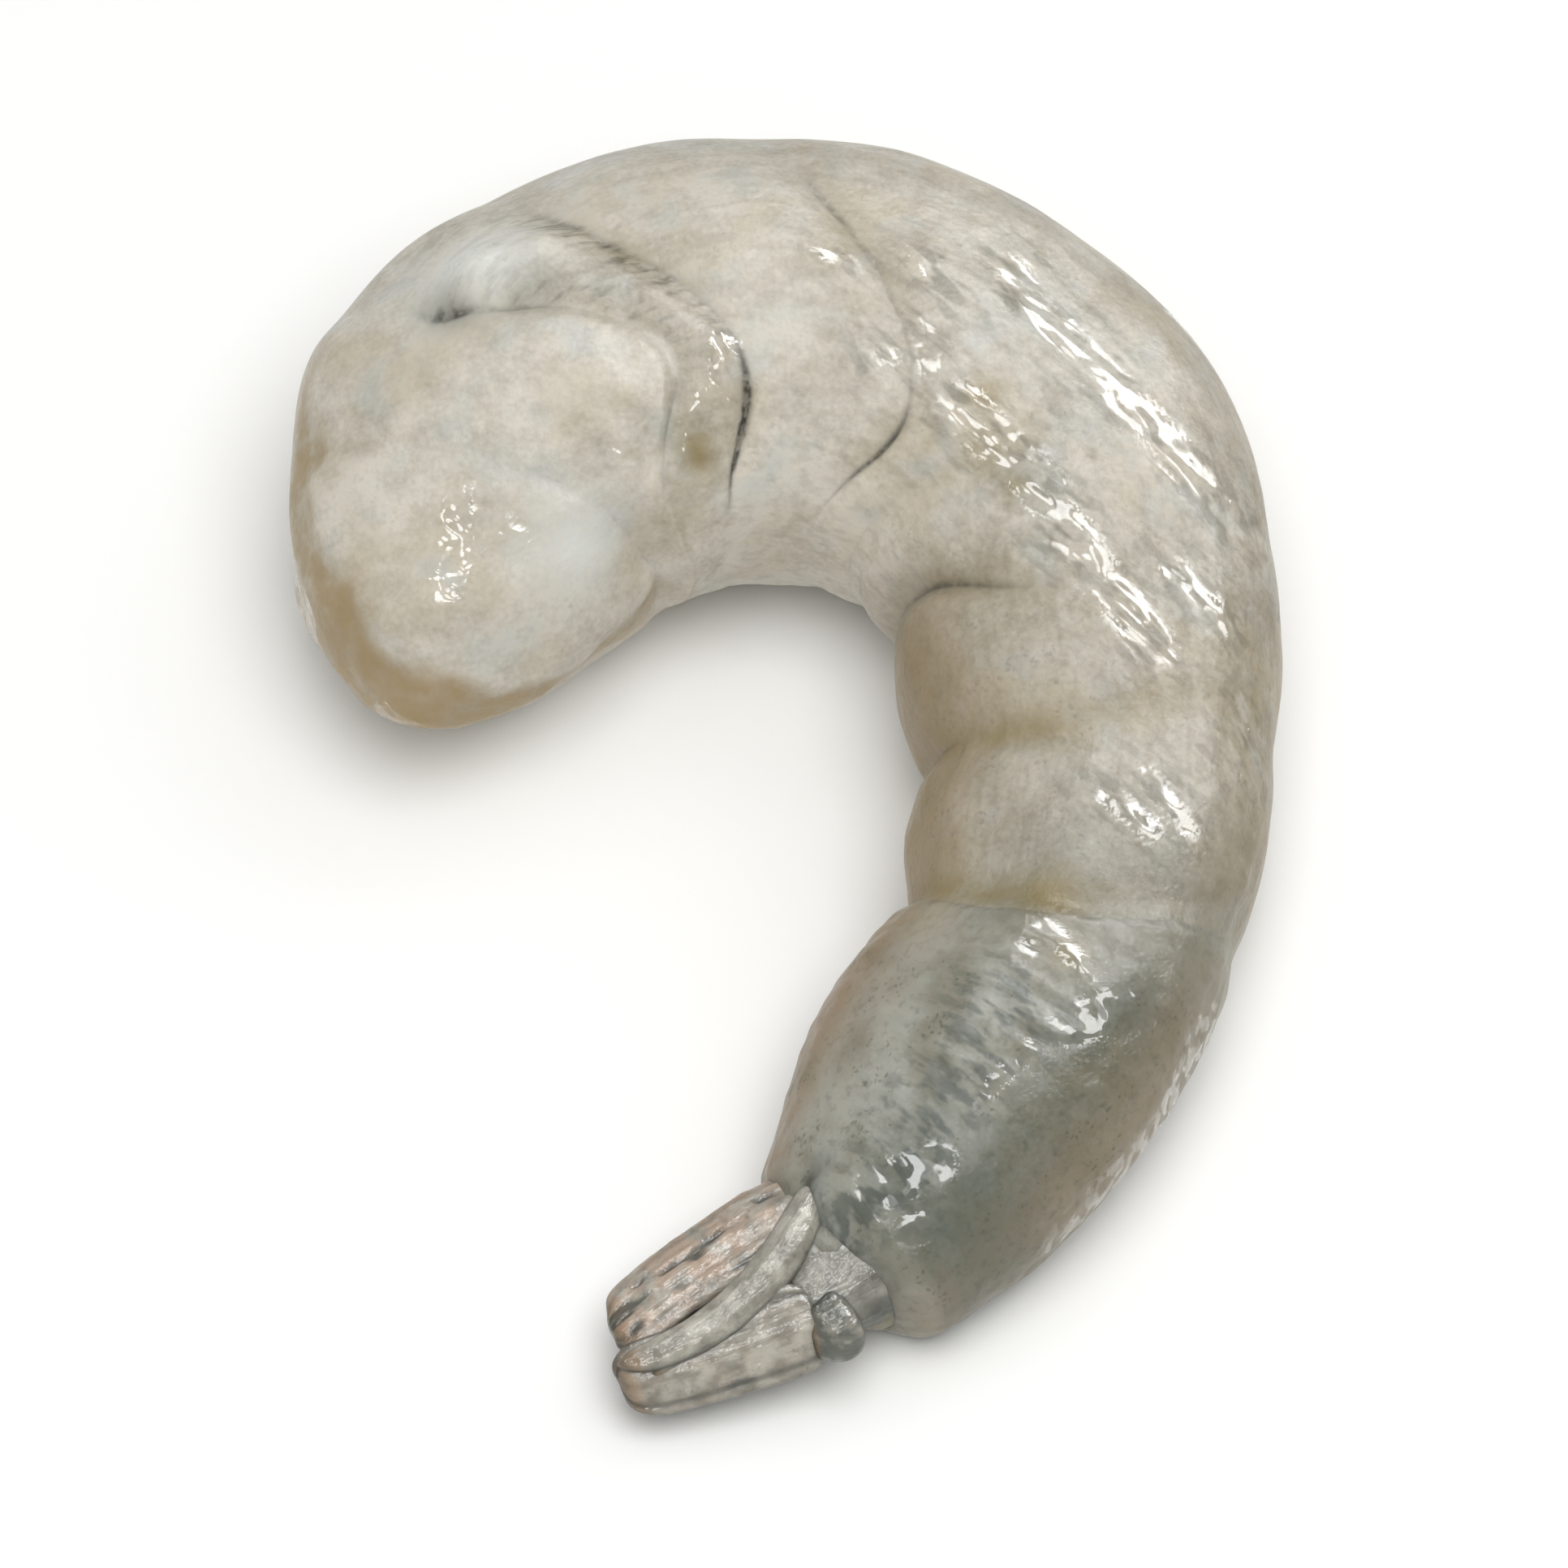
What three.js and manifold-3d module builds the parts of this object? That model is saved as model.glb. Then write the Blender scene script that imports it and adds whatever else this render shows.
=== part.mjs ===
import * as THREE from 'three';
import Module from 'manifold-3d';

// A raw peeled shrimp with its tail shell left on, lying on its right side.
// Millimetres and degrees. +Z is up, and the table is Z = 0.
// The spine starts at the cut head end and runs round the curl to the tail, clockwise from above.
// The back is the outside of the curl and the belly is the inside.

// The spine and the flesh, segment by segment: length along the spine, how far the spine turns in it,
// and the depth (back to belly) and the width (flank to flank) at its middle.
const segments = [
  { name: 'neck', length: 8.8, turn: 38, depth: 23.8, width: 19.4 },
  { name: 'first', length: 9.7, turn: 33, depth: 23.8, width: 20.0 },
  { name: 'second', length: 12.4, turn: 42, depth: 23.4, width: 19.6 },
  { name: 'third', length: 11.4, turn: 42, depth: 21.6, width: 18.4 },
  { name: 'fourth', length: 12.3, turn: 14, depth: 19.3, width: 16.8 },
  { name: 'fifth', length: 11.0, turn: 23, depth: 17.4, width: 15.2 },
  { name: 'sixth', length: 18.0, turn: 16, depth: 15.6, width: 13.0 },
];
const headEnd = { heading: 75.5, depth: 20.6, width: 17.4, dome: 10.7, domeTilt: 1.7 };
const tailEnd = { depth: 11.2, width: 8.8, dome: 1.6 };

// The rounded head end: (1 - a^first)^second (1 - third a) of the section's size, with a going from 0
// at the dome's base to 1 at its tip.
const domeShape = { first: 2.2, second: 0.62, third: 0.26 };

// The cross-section: an oval, a little squarer than an ellipse and narrower towards the belly.
const sectionPower = 0.9;
const bellyNarrowing = 0.1;

// The soft flesh spreads where it lies on the table: it is pressed in by `press`, rounded off over `blend`.
const rest = { press: 0.9, blend: 0.5 };

// The lines between the segments, each by its distance along the spine at the back and at the belly,
// how far it sweeps tailwards on the flank, the angle from the back where that peaks, and its spread.
// groove is its depth at the back, the flank and the belly. The groove is sharp at the creases, each
// an angle, a spread and a strength, and shallow and soft between them.
const lines = [
  { name: 'collar', back: 4.8, belly: 3.5, sweep: 9.0, peak: 110, spread: 29, groove: [0.0, 0.34, 0.05],
    creases: [[67, 6, 1.0], [80, 8, 0.45], [124, 8, 0.3]] },
  { name: 'first', back: 10.2, belly: 12.4, sweep: 6.2, peak: 118, spread: 34, groove: [0.12, 0.5, 0.05],
    creases: [[74, 24, 0.35], [131, 16, 1.0]] },
  { name: 'second', back: 19.0, belly: 24.0, sweep: 8.2, peak: 120, spread: 38, groove: [0.12, 0.34, 0.05],
    creases: [[72, 9, 0.55], [92, 9, 0.2], [131, 15, 1.0]] },
  { name: 'third', back: 31.0, belly: 33.0, sweep: 5.0, peak: 108, spread: 40, groove: [0.15, 0.16, 0.15],
    creases: [[168, 18, 0.1]] },
  { name: 'fourth', back: 42.0, belly: 42.6, sweep: 4.4, peak: 95, spread: 45, groove: [0.15, 0.42, 1.0],
    creases: [[30, 6, 0.5], [142, 30, 0.7]] },
  { name: 'fifth', back: 51.5, belly: 53.2, sweep: 2.0, peak: 105, spread: 40, groove: [0.18, 0.42, 1.2],
    creases: [[165, 20, 0.4]] },
  { name: 'sixth', back: 60.5, belly: 64.6, sweep: 1.8, peak: 100, spread: 40, groove: [0.25, 0.4, 0.9],
    creases: [[168, 16, 0.3]] },
];
const groove = { headwards: 1.1, tailwards: 0.55, softTailwards: 1.5, softDepth: 0.35 };

// A long shallow hollow runs between the muscle of the back and that of the belly.
const hollow = { depth: 0.5, angle: 70, width: 15, rise: [18, 27], fall: [53, 62] };

// How far the flesh swells between two lines, at the back, the flank and the belly, and the share of it
// that is taken off again, so that the mean outline stays where it is. The belly is almost smooth up to
// bellyRise along the spine and notched after it.
const swell = {
  back: 0.2, flank: 0.32, bellyBefore: 0.05, bellyAfter: 0.85, bellyRise: [34, 43],
  power: 1.6, mean: 0.5, neckStart: 9,
};

// The pale flesh of the cut head end stands proud of a thin rim along its back and its lower side.
// collarBlend is how softly it ends at the back, on the flank and at the belly, with the angles between.
// The rim reaches up to rimEdge in the direction that it faces, and less towards the back, the belly
// and the tail. The belly side of the head end is tucked in.
const lobe = {
  height: 0.22,
  collarBlend: { back: 7.0, flank: 1.4, belly: 5.0, backAngles: [52, 66], bellyAngles: [120, 145] },
  rimDrop: 0.55,
  rimEdge: 0.7,
  rimFaces: { up: 0.866, headwards: 0.485, backwards: -0.125 },
  rimFade: { back: 0.6, backFrom: 0.45, belly: 0.5, bellyFrom: 0.1, tail: 0.05 },
  rimBlend: [-0.03, 0.07],
  tuck: { depth: 0.7, angles: [112, 165], reach: [-12.0, 2.0] },
};

// A short tongue of muscle lies behind the collar, on the back's side of the flank, with a dent behind it.
// Each bump has a place along the spine and an angle, a size in both, and a height.
const tongue = [
  { place: [7.3, 66], size: [1.7, 7], height: 0.9 },
  { place: [9.8, 71], size: [2.4, 6], height: 0.6 },
  { place: [7.0, 42], size: [1.6, 11], height: -0.5 },
];

// The shell of the last segment stays on: it steps up from the flesh, has a low ridge along its upper
// side, and draws in round the tail fan behind a raised hem.
const shell = { step: 0.3, stepWidth: 1.6, hem: 0.08, hemWidth: 1.8, shoulder: 0.3, shoulderWidth: 1.7 };
const ridge = { height: 0.35, angle: 93, width: 10, rise: [63, 67] };

// The closed tail fan. Places are along, across (towards the belly) and above the tail's own axis.
// A blade is `width` broad at its root, narrows by the share `taper` towards its tip and is bowed
// across by `bend`; the higher its `bluntness`, the squarer its ends.
const fan = {
  turn: 14,
  tipThinning: 0.3,
  bendPower: 0.8,
  edgePower: 0.85,
  facePower: 0.75,
  floorBlend: 0.3,
  blades: [
    { name: 'root', root: [-4.0, -0.4, 4.3], tip: [3.4, -0.2, 4.1], width: 9.2, thickness: 7.2,
      roll: 0, bend: 0, bluntness: 6, taper: 0.2 },
    { name: 'telson', root: [-2.2, 1.6, 3.6], tip: [11.6, 0.2, 2.6], width: 5.6, thickness: 2.6,
      roll: 80, bend: 0, bluntness: 12, taper: 0.25 },
    { name: 'upper side', root: [2.2, 2.2, 4.5], tip: [12.6, -0.6, 3.2], width: 5.2, thickness: 2.2,
      roll: 40, bend: 0.3, bluntness: 9, taper: 0.2 },
    { name: 'upper inner', root: [-0.9, -2.9, 6.7], tip: [12.2, -1.1, 4.3], width: 2.9, thickness: 3.4,
      roll: 5, bend: 1.9, bluntness: 7, taper: 0.45 },
    { name: 'upper outer', root: [-2.2, -2.6, 5.4], tip: [11.6, -2.9, 3.9], width: 5.1, thickness: 2.9,
      roll: -12, bend: -0.5, bluntness: 12, taper: 0.2 },
    { name: 'lower side', root: [-0.2, 0.3, 2.5], tip: [12.0, -0.6, 1.8], width: 5.6, thickness: 2.2,
      roll: -20, bend: 0, bluntness: 12, taper: 0.2 },
    { name: 'lower outer', root: [-1.8, -3.6, 2.4], tip: [11.2, -2.4, 1.8], width: 5.4, thickness: 2.2,
      roll: 14, bend: 0, bluntness: 12, taper: 0.2 },
    { name: 'middle fold', root: [0.2, 1.0, 4.9], tip: [3.8, 1.3, 4.8], width: 2.8, thickness: 2.6,
      roll: 20, bend: 0, bluntness: 3, taper: 0.1 },
    { name: 'knob', root: [0.9, 3.4, 4.7], tip: [3.5, 3.2, 4.6], width: 3.7, thickness: 3.2,
      roll: 45, bend: 0, bluntness: 2.5, taper: 0.1 },
  ],
};

// How fine the facets are.
const rowsPerSegment = 11;
const around = 32;
const headRings = 8;
const tailRings = 3;
const bladeRows = 12;
const bladeAround = 16;
const spineStep = 0.05;

const radians = THREE.MathUtils.degToRad;
const { clamp, smoothstep } = THREE.MathUtils;

// A cubic through the knots. Its slope at a knot is the mean of the two spans beside it,
// or none where the values turn.
function throughKnots(knots, values, at) {
  const spans = knots.slice(1).map((knot, i) => (values[i + 1] - values[i]) / (knot - knots[i]));
  const last = spans.length - 1;
  const slopeAt = (i) => {
    if (i === 0) return spans[0];
    if (i > last) return spans[last];
    return spans[i - 1] * spans[i] <= 0 ? 0 : (spans[i - 1] + spans[i]) / 2;
  };
  let i = 0;
  while (i < last && at > knots[i + 1]) i += 1;
  const width = knots[i + 1] - knots[i];
  const t = clamp((at - knots[i]) / width, 0, 1);
  const rise = t * t * (3 - 2 * t);
  return values[i] * (1 - rise) + values[i + 1] * rise
    + width * (slopeAt(i) * t * (1 - t) ** 2 - slopeAt(i + 1) * t * t * (1 - t));
}

// The spine as a table of close stations: place in plan, heading, half depth and half width.
function makeSpine() {
  const joints = [0];
  const headings = [headEnd.heading];
  segments.forEach((segment, i) => {
    joints.push(joints[i] + segment.length);
    headings.push(headings[i] - segment.turn);
  });
  const length = joints[segments.length];
  const middles = segments.map((segment, i) => joints[i] + segment.length / 2);
  const knots = [0, ...middles, length];
  const depths = [headEnd.depth, ...segments.map((segment) => segment.depth), tailEnd.depth];
  const widths = [headEnd.width, ...segments.map((segment) => segment.width), tailEnd.width];
  const count = Math.round(length / spineStep);
  const stations = [];
  let x = 0;
  let y = 0;
  for (let i = 0; i <= count; i += 1) {
    const s = (length * i) / count;
    const heading = radians(throughKnots(joints, headings, s));
    if (i > 0) {
      const middle = (heading + stations[i - 1].heading) / 2;
      x += (Math.cos(middle) * length) / count;
      y += (Math.sin(middle) * length) / count;
    }
    const halfDepth = throughKnots(knots, depths, s) / 2;
    const halfWidth = throughKnots(knots, widths, s) / 2;
    stations.push({ x, y, heading, halfDepth, halfWidth });
  }
  return { stations, length };
}

const spine = makeSpine();

function stationAt(s) {
  const { stations, length } = spine;
  const place = clamp(s / length, 0, 1) * (stations.length - 1);
  const before = stations[Math.floor(place)];
  const after = stations[Math.min(Math.floor(place) + 1, stations.length - 1)];
  const share = place - Math.floor(place);
  const station = {};
  for (const key of Object.keys(before)) station[key] = before[key] + (after[key] - before[key]) * share;
  return station;
}

// A height above the table: flat on it below -blend, the height itself above blend, a parabola between.
function onTable(height, blend) {
  if (height > blend) return height;
  return height < -blend ? 0 : (height + blend) ** 2 / (4 * blend);
}

// The angle from the back, the same on both sides of the body.
const sideOf = (angle) => (angle > Math.PI ? 2 * Math.PI - angle : angle);

// Where a line crosses the angle from the back, as a distance along the spine.
function lineAt(line, side) {
  const bump = Math.exp(-(((THREE.MathUtils.radToDeg(side) - line.peak) / line.spread) ** 2));
  return line.back + ((line.belly - line.back) * (1 - Math.cos(side))) / 2 + line.sweep * bump;
}

// A value that is given at the back, the flank and the belly, blended round the section.
function roundSection([back, flank, belly], side) {
  const c = Math.cos(side);
  return flank * Math.sin(side) ** 2 + (c > 0 ? back : belly) * c * c;
}

// A soft bump round an angle.
const bumpAt = (degrees, angle, spread) => Math.exp(-(((degrees - angle) / spread) ** 2));

// How sharp a line's groove is at an angle, from 0 to 1.
function sharpnessAt(line, degrees) {
  const shares = line.creases.map(([angle, spread, strength]) => strength * bumpAt(degrees, angle, spread));
  return Math.min(shares.reduce((sum, share) => sum + share, 0), 1);
}

// 1 on the thin rim of the cut end and 0 on the lobe that bulges out of it. The place on the rounded end
// is taken as a point of a unit ball.
function rimAt(s, angle, ring, dome) {
  const { rimFaces, rimFade, rimBlend } = lobe;
  const backwards = ring * Math.cos(angle);
  const raised = rimFaces.up * ring * Math.sin(angle)
    - rimFaces.headwards * Math.min(dome, 0)
    + rimFaces.backwards * backwards;
  const faded = rimFade.back * Math.max(0, backwards - rimFade.backFrom)
    + rimFade.belly * Math.max(0, -rimFade.bellyFrom - backwards)
    + rimFade.tail * s;
  return smoothstep(lobe.rimEdge - faded - raised, ...rimBlend);
}

// The head end's lobe and rim, before the first line.
function headRelief(s, angle, ring, dome, degrees, beforeCollar) {
  const { back, flank, belly, backAngles, bellyAngles } = lobe.collarBlend;
  const blend = back + (flank - back) * smoothstep(degrees, ...backAngles)
    + (belly - flank) * smoothstep(degrees, ...bellyAngles);
  const onNeck = smoothstep(beforeCollar, 0, blend);
  const tucked = smoothstep(degrees, ...lobe.tuck.angles) * smoothstep(beforeCollar, ...lobe.tuck.reach);
  return (lobe.height - lobe.rimDrop * rimAt(s, angle, ring, dome)) * onNeck - lobe.tuck.depth * tucked;
}

// How far the flesh stands out from the plain oval: grooves, the swell between them, the head end's lobe
// and tongue, the long hollow, the shell and its ridge.
function relief(s, angle, ring, dome) {
  const side = sideOf(angle);
  const degrees = THREE.MathUtils.radToDeg(side);
  const places = lines.map((line) => lineAt(line, side));
  const ends = [-swell.neckStart, ...places, spine.length];
  const notched = smoothstep(s, ...swell.bellyRise);
  const belly = swell.bellyBefore + (swell.bellyAfter - swell.bellyBefore) * notched;
  const swelling = roundSection([swell.back, swell.flank, belly], side);
  let height = 0;
  lines.forEach((line, i) => {
    const gap = s - places[i];
    const sharp = sharpnessAt(line, degrees);
    const tailwards = groove.softTailwards + (groove.tailwards - groove.softTailwards) * sharp;
    const depth = roundSection(line.groove, side) * (groove.softDepth + (1 - groove.softDepth) * sharp);
    height -= depth * Math.exp(-((gap / (gap > 0 ? tailwards : groove.headwards)) ** 2));
  });
  for (let i = 0; i + 1 < ends.length; i += 1) {
    const t = (s - ends[i]) / (ends[i + 1] - ends[i]);
    if (t >= 0 && t < 1) height += swelling * (Math.sin(Math.PI * t) ** swell.power - swell.mean);
  }
  height += headRelief(s, angle, ring, dome, degrees, places[0] - s);
  tongue.forEach(({ place: [along, round], size: [length, spread], height: bump }) => {
    height += bump * Math.exp(-(((s - along) / length) ** 2)) * bumpAt(degrees, round, spread);
  });
  const lengthwise = smoothstep(s, ...hollow.rise) * (1 - smoothstep(s, ...hollow.fall));
  height -= hollow.depth * lengthwise * bumpAt(degrees, hollow.angle, hollow.width);
  height += ridge.height * smoothstep(s, ...ridge.rise) * bumpAt(degrees, ridge.angle, ridge.width);
  height += shell.step * smoothstep(s - places[lines.length - 1], 0, shell.stepWidth);
  const hemEnd = spine.length - shell.hemWidth / 2;
  return height + shell.hem * smoothstep(s, spine.length - shell.hemWidth, hemEnd);
}

// A power that keeps the sign.
const signedPower = (value, power) => Math.sign(value) * Math.abs(value) ** power;

// A place along, across and above the spine or the fan, put into plan.
function place(origin, heading, along, across, height) {
  const x = origin.x + Math.cos(heading) * along - Math.sin(heading) * across;
  const y = origin.y + Math.sin(heading) * along + Math.cos(heading) * across;
  return [x, y, height];
}

// A point of the flesh: s along the spine, angle round the section from the back over the upper flank,
// ring the share of the section's size and dome how far the end bulges past the spine's end.
function fleshPoint(s, angle, ring = 1, dome = 0) {
  const station = stationAt(s);
  const outward = signedPower(Math.cos(angle), sectionPower);
  const narrowing = 1 - bellyNarrowing * Math.max(0, -Math.cos(angle));
  const upward = signedPower(Math.sin(angle), sectionPower) * narrowing;
  const normal = [outward / station.halfDepth, upward / station.halfWidth];
  const steepness = Math.hypot(...normal);
  const proud = (relief(s, angle, ring, dome) * ring) / steepness;
  const across = station.halfDepth * outward * ring + normal[0] * proud;
  const height = station.halfWidth * upward * ring + normal[1] * proud;
  const reach = dome < 0 ? headEnd.dome + headEnd.domeTilt * Math.cos(angle) * ring : tailEnd.dome;
  const lifted = onTable(station.halfWidth - rest.press + height, rest.blend);
  return place(station, station.heading, dome * reach, across, lifted);
}

// The end of the last segment draws in round the roots of the tail fan.
function endTaper(s) {
  const reach = (s - spine.length + shell.shoulderWidth) / shell.shoulderWidth;
  return 1 - shell.shoulder * Math.max(0, reach) ** 2;
}

// The rows of the flesh follow the lines between the segments, so that each groove lies on an edge.
function fleshRows() {
  const rows = [];
  for (let i = 0; i < headRings; i += 1) {
    const bulge = Math.cos(((Math.PI / 2) * i) / headRings);
    const ring = (1 - bulge ** domeShape.first) ** domeShape.second * (1 - domeShape.third * bulge);
    rows.push((angle) => fleshPoint(0, angle, ring, -bulge));
  }
  const zones = lines.length + 1;
  for (let i = 0; i <= zones * rowsPerSegment; i += 1) {
    const zone = Math.min(Math.floor(i / rowsPerSegment), zones - 1);
    const share = i / rowsPerSegment - zone;
    rows.push((angle) => {
      const side = sideOf(angle);
      const from = zone === 0 ? 0 : lineAt(lines[zone - 1], side);
      const to = zone === zones - 1 ? spine.length : lineAt(lines[zone], side);
      const s = from + (to - from) * share;
      return fleshPoint(s, angle, endTaper(s));
    });
  }
  const lastRing = endTaper(spine.length);
  for (let i = 1; i <= tailRings; i += 1) {
    const q = ((Math.PI / 2) * i) / tailRings;
    rows.push((angle) => fleshPoint(spine.length, angle, lastRing * Math.cos(q), Math.sin(q)));
  }
  return rows;
}

// A blade of the fan: its outline is blunt at both ends and its section a flattened oval.
function bladeRowsOf(blade) {
  const end = spine.stations[spine.stations.length - 1];
  const heading = end.heading - radians(fan.turn);
  const roll = radians(blade.roll);
  const rows = [];
  for (let i = 0; i <= bladeRows; i += 1) {
    const t = (1 - Math.cos((Math.PI * i) / bladeRows)) / 2;
    const outline = Math.sqrt(1 - Math.abs(2 * t - 1) ** blade.bluntness) * (1 - blade.taper * t);
    const centre = blade.root.map((value, axis) => value + (blade.tip[axis] - value) * t);
    const bowed = blade.bend * Math.sin(Math.PI * t) ** fan.bendPower;
    const thickness = blade.thickness * (1 - fan.tipThinning * t);
    rows.push((angle) => {
      const sideways = (signedPower(Math.cos(angle), fan.edgePower) * outline * blade.width) / 2;
      const proud = (signedPower(Math.sin(angle), fan.facePower) * outline * thickness) / 2;
      const across = centre[1] + bowed + sideways * Math.cos(roll) + proud * Math.sin(roll);
      const height = centre[2] - sideways * Math.sin(roll) + proud * Math.cos(roll);
      return place(end, heading, centre[0], across, onTable(height, fan.floorBlend));
    });
  }
  return rows;
}

// A closed skin over rows of points. The first and the last row are poles, each a single point.
function closedSkin(rows, count) {
  const positions = [...rows[0](0)];
  const indices = [];
  const inner = rows.slice(1, -1);
  inner.forEach((row) => {
    for (let j = 0; j < count; j += 1) positions.push(...row((2 * Math.PI * j) / count));
  });
  positions.push(...rows[rows.length - 1](0));
  const farPole = positions.length / 3 - 1;
  const vertex = (i, j) => 1 + i * count + (j % count);
  for (let j = 0; j < count; j += 1) {
    indices.push(0, vertex(0, j + 1), vertex(0, j));
    for (let i = 0; i + 1 < inner.length; i += 1) {
      indices.push(vertex(i, j), vertex(i, j + 1), vertex(i + 1, j));
      indices.push(vertex(i, j + 1), vertex(i + 1, j + 1), vertex(i + 1, j));
    }
    indices.push(vertex(inner.length - 1, j), vertex(inner.length - 1, j + 1), farPole);
  }
  return { positions, indices };
}

const wasm = await Module();
wasm.setup();

function solidOf({ positions, indices }) {
  const vertProperties = new Float32Array(positions);
  const triVerts = new Uint32Array(indices);
  return new wasm.Manifold(new wasm.Mesh({ numProp: 3, vertProperties, triVerts }));
}

// The flesh and the tail fan are one piece.
function makeShrimp() {
  let solid = solidOf(closedSkin(fleshRows(), around));
  for (const blade of fan.blades) solid = solid.add(solidOf(closedSkin(bladeRowsOf(blade), bladeAround)));
  const joined = solid.getMesh();
  const geometry = new THREE.BufferGeometry();
  geometry.setAttribute('position', new THREE.BufferAttribute(new Float32Array(joined.vertProperties), 3));
  geometry.setIndex(new THREE.BufferAttribute(new Uint32Array(joined.triVerts), 1));
  geometry.computeBoundingBox();
  const { min, max } = geometry.boundingBox;
  geometry.translate(-(min.x + max.x) / 2, -(min.y + max.y) / 2, -min.z);
  geometry.computeVertexNormals();
  const material = new THREE.MeshStandardMaterial({ color: 0xc4bdae, roughness: 0.25, metalness: 0 });
  const mesh = new THREE.Mesh(geometry, material);
  mesh.name = 'shrimp';
  return mesh;
}

const group = new THREE.Group();
group.add(makeShrimp());

export default group;
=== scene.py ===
import math
import bpy
import numpy as np
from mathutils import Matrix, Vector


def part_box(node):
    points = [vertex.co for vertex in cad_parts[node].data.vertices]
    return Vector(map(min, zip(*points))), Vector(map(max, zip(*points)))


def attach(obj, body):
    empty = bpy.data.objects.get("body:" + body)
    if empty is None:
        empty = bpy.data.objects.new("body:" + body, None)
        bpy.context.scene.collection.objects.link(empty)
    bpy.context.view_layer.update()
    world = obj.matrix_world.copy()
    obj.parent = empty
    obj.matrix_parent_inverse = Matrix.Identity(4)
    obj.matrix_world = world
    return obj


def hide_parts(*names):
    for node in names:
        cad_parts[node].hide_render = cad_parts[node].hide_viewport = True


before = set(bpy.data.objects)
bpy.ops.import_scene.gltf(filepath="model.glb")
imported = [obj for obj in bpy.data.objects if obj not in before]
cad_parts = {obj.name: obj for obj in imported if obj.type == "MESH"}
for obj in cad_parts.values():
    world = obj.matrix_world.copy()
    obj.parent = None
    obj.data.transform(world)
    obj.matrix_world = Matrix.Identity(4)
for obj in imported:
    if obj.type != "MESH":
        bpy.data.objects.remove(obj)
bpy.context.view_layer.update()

# A raw peeled shrimp with its tail shell left on, lying on its right side. Shapes are worked out in
# millimetres, in the spine's own plan, and put into the frame in metres at the end.
# s runs along the spine from the cut head end. The angle round the body starts at the back
# (the outside of the curl) and goes over the upper flank, the belly and the lower flank; the side
# is the same angle folded to 0 at the back and 180 degrees at the belly.

millimetre = 0.001

# camera

view = {
    "elevation": 60,         # degrees above the table, as the photo looks down on the food
    "frameWidth": 80.0,      # mm of the table's width that the square picture shows
    "lens": 400,             # a long lens, because the photo has almost no perspective
    "sensor": 36,
    "clip": (0.01, 20),      # metres
    "aim": (0.0, -1.9, 8.5),
}


def makeCamera(view):
    camera = bpy.data.objects.new("camera", bpy.data.cameras.new("camera"))
    bpy.context.scene.collection.objects.link(camera)
    camera.data.lens = view["lens"]
    camera.data.sensor_width = view["sensor"]
    camera.data.clip_start, camera.data.clip_end = view["clip"]
    distance = view["lens"] * view["frameWidth"] / view["sensor"]
    tilt = math.radians(view["elevation"])
    x, y, z = view["aim"]
    place = (x, y - distance * math.cos(tilt), z + distance * math.sin(tilt))
    camera.location = [value * millimetre for value in place]
    camera.rotation_euler = (math.pi / 2 - tilt, 0, 0)
    bpy.context.scene.camera = camera


makeCamera(view)
print("camera placed")

# the spine and the flesh

body = {
    "lengths": [8.8, 9.7, 12.4, 11.4, 12.3, 11.0, 18.0],     # neck, then the six segments
    "turns": [38, 33, 42, 42, 14, 23, 16],                   # how far the spine turns in each, degrees
    "depths": [20.6, 23.8, 23.8, 23.4, 21.6, 19.3, 17.4, 15.6, 11.2],   # head end, middles, tail end
    "widths": [17.4, 19.4, 20.0, 19.6, 18.4, 16.8, 15.2, 13.0, 8.8],
    "firstHeading": 75.5,
    "steps": 1700,           # how finely the path is worked out
    "roundness": 0.9,        # 1 is an ellipse, less is squarer
    "bellyNarrowing": 0.1,
    "press": 0.9,            # how far the soft flesh is pressed in by the table
    "pressBlend": 0.5,
    "headDome": 10.7,
    "headDomeTilt": 1.7,
    # (1 - a^first)^second (1 - third a), with a from 0 at the dome's base to 1 at its tip
    "domeShape": (2.2, 0.62, 0.26),
    "tailDome": 1.6,
    "meanRadius": 9,         # of the body unrolled for patterns
}

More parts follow.
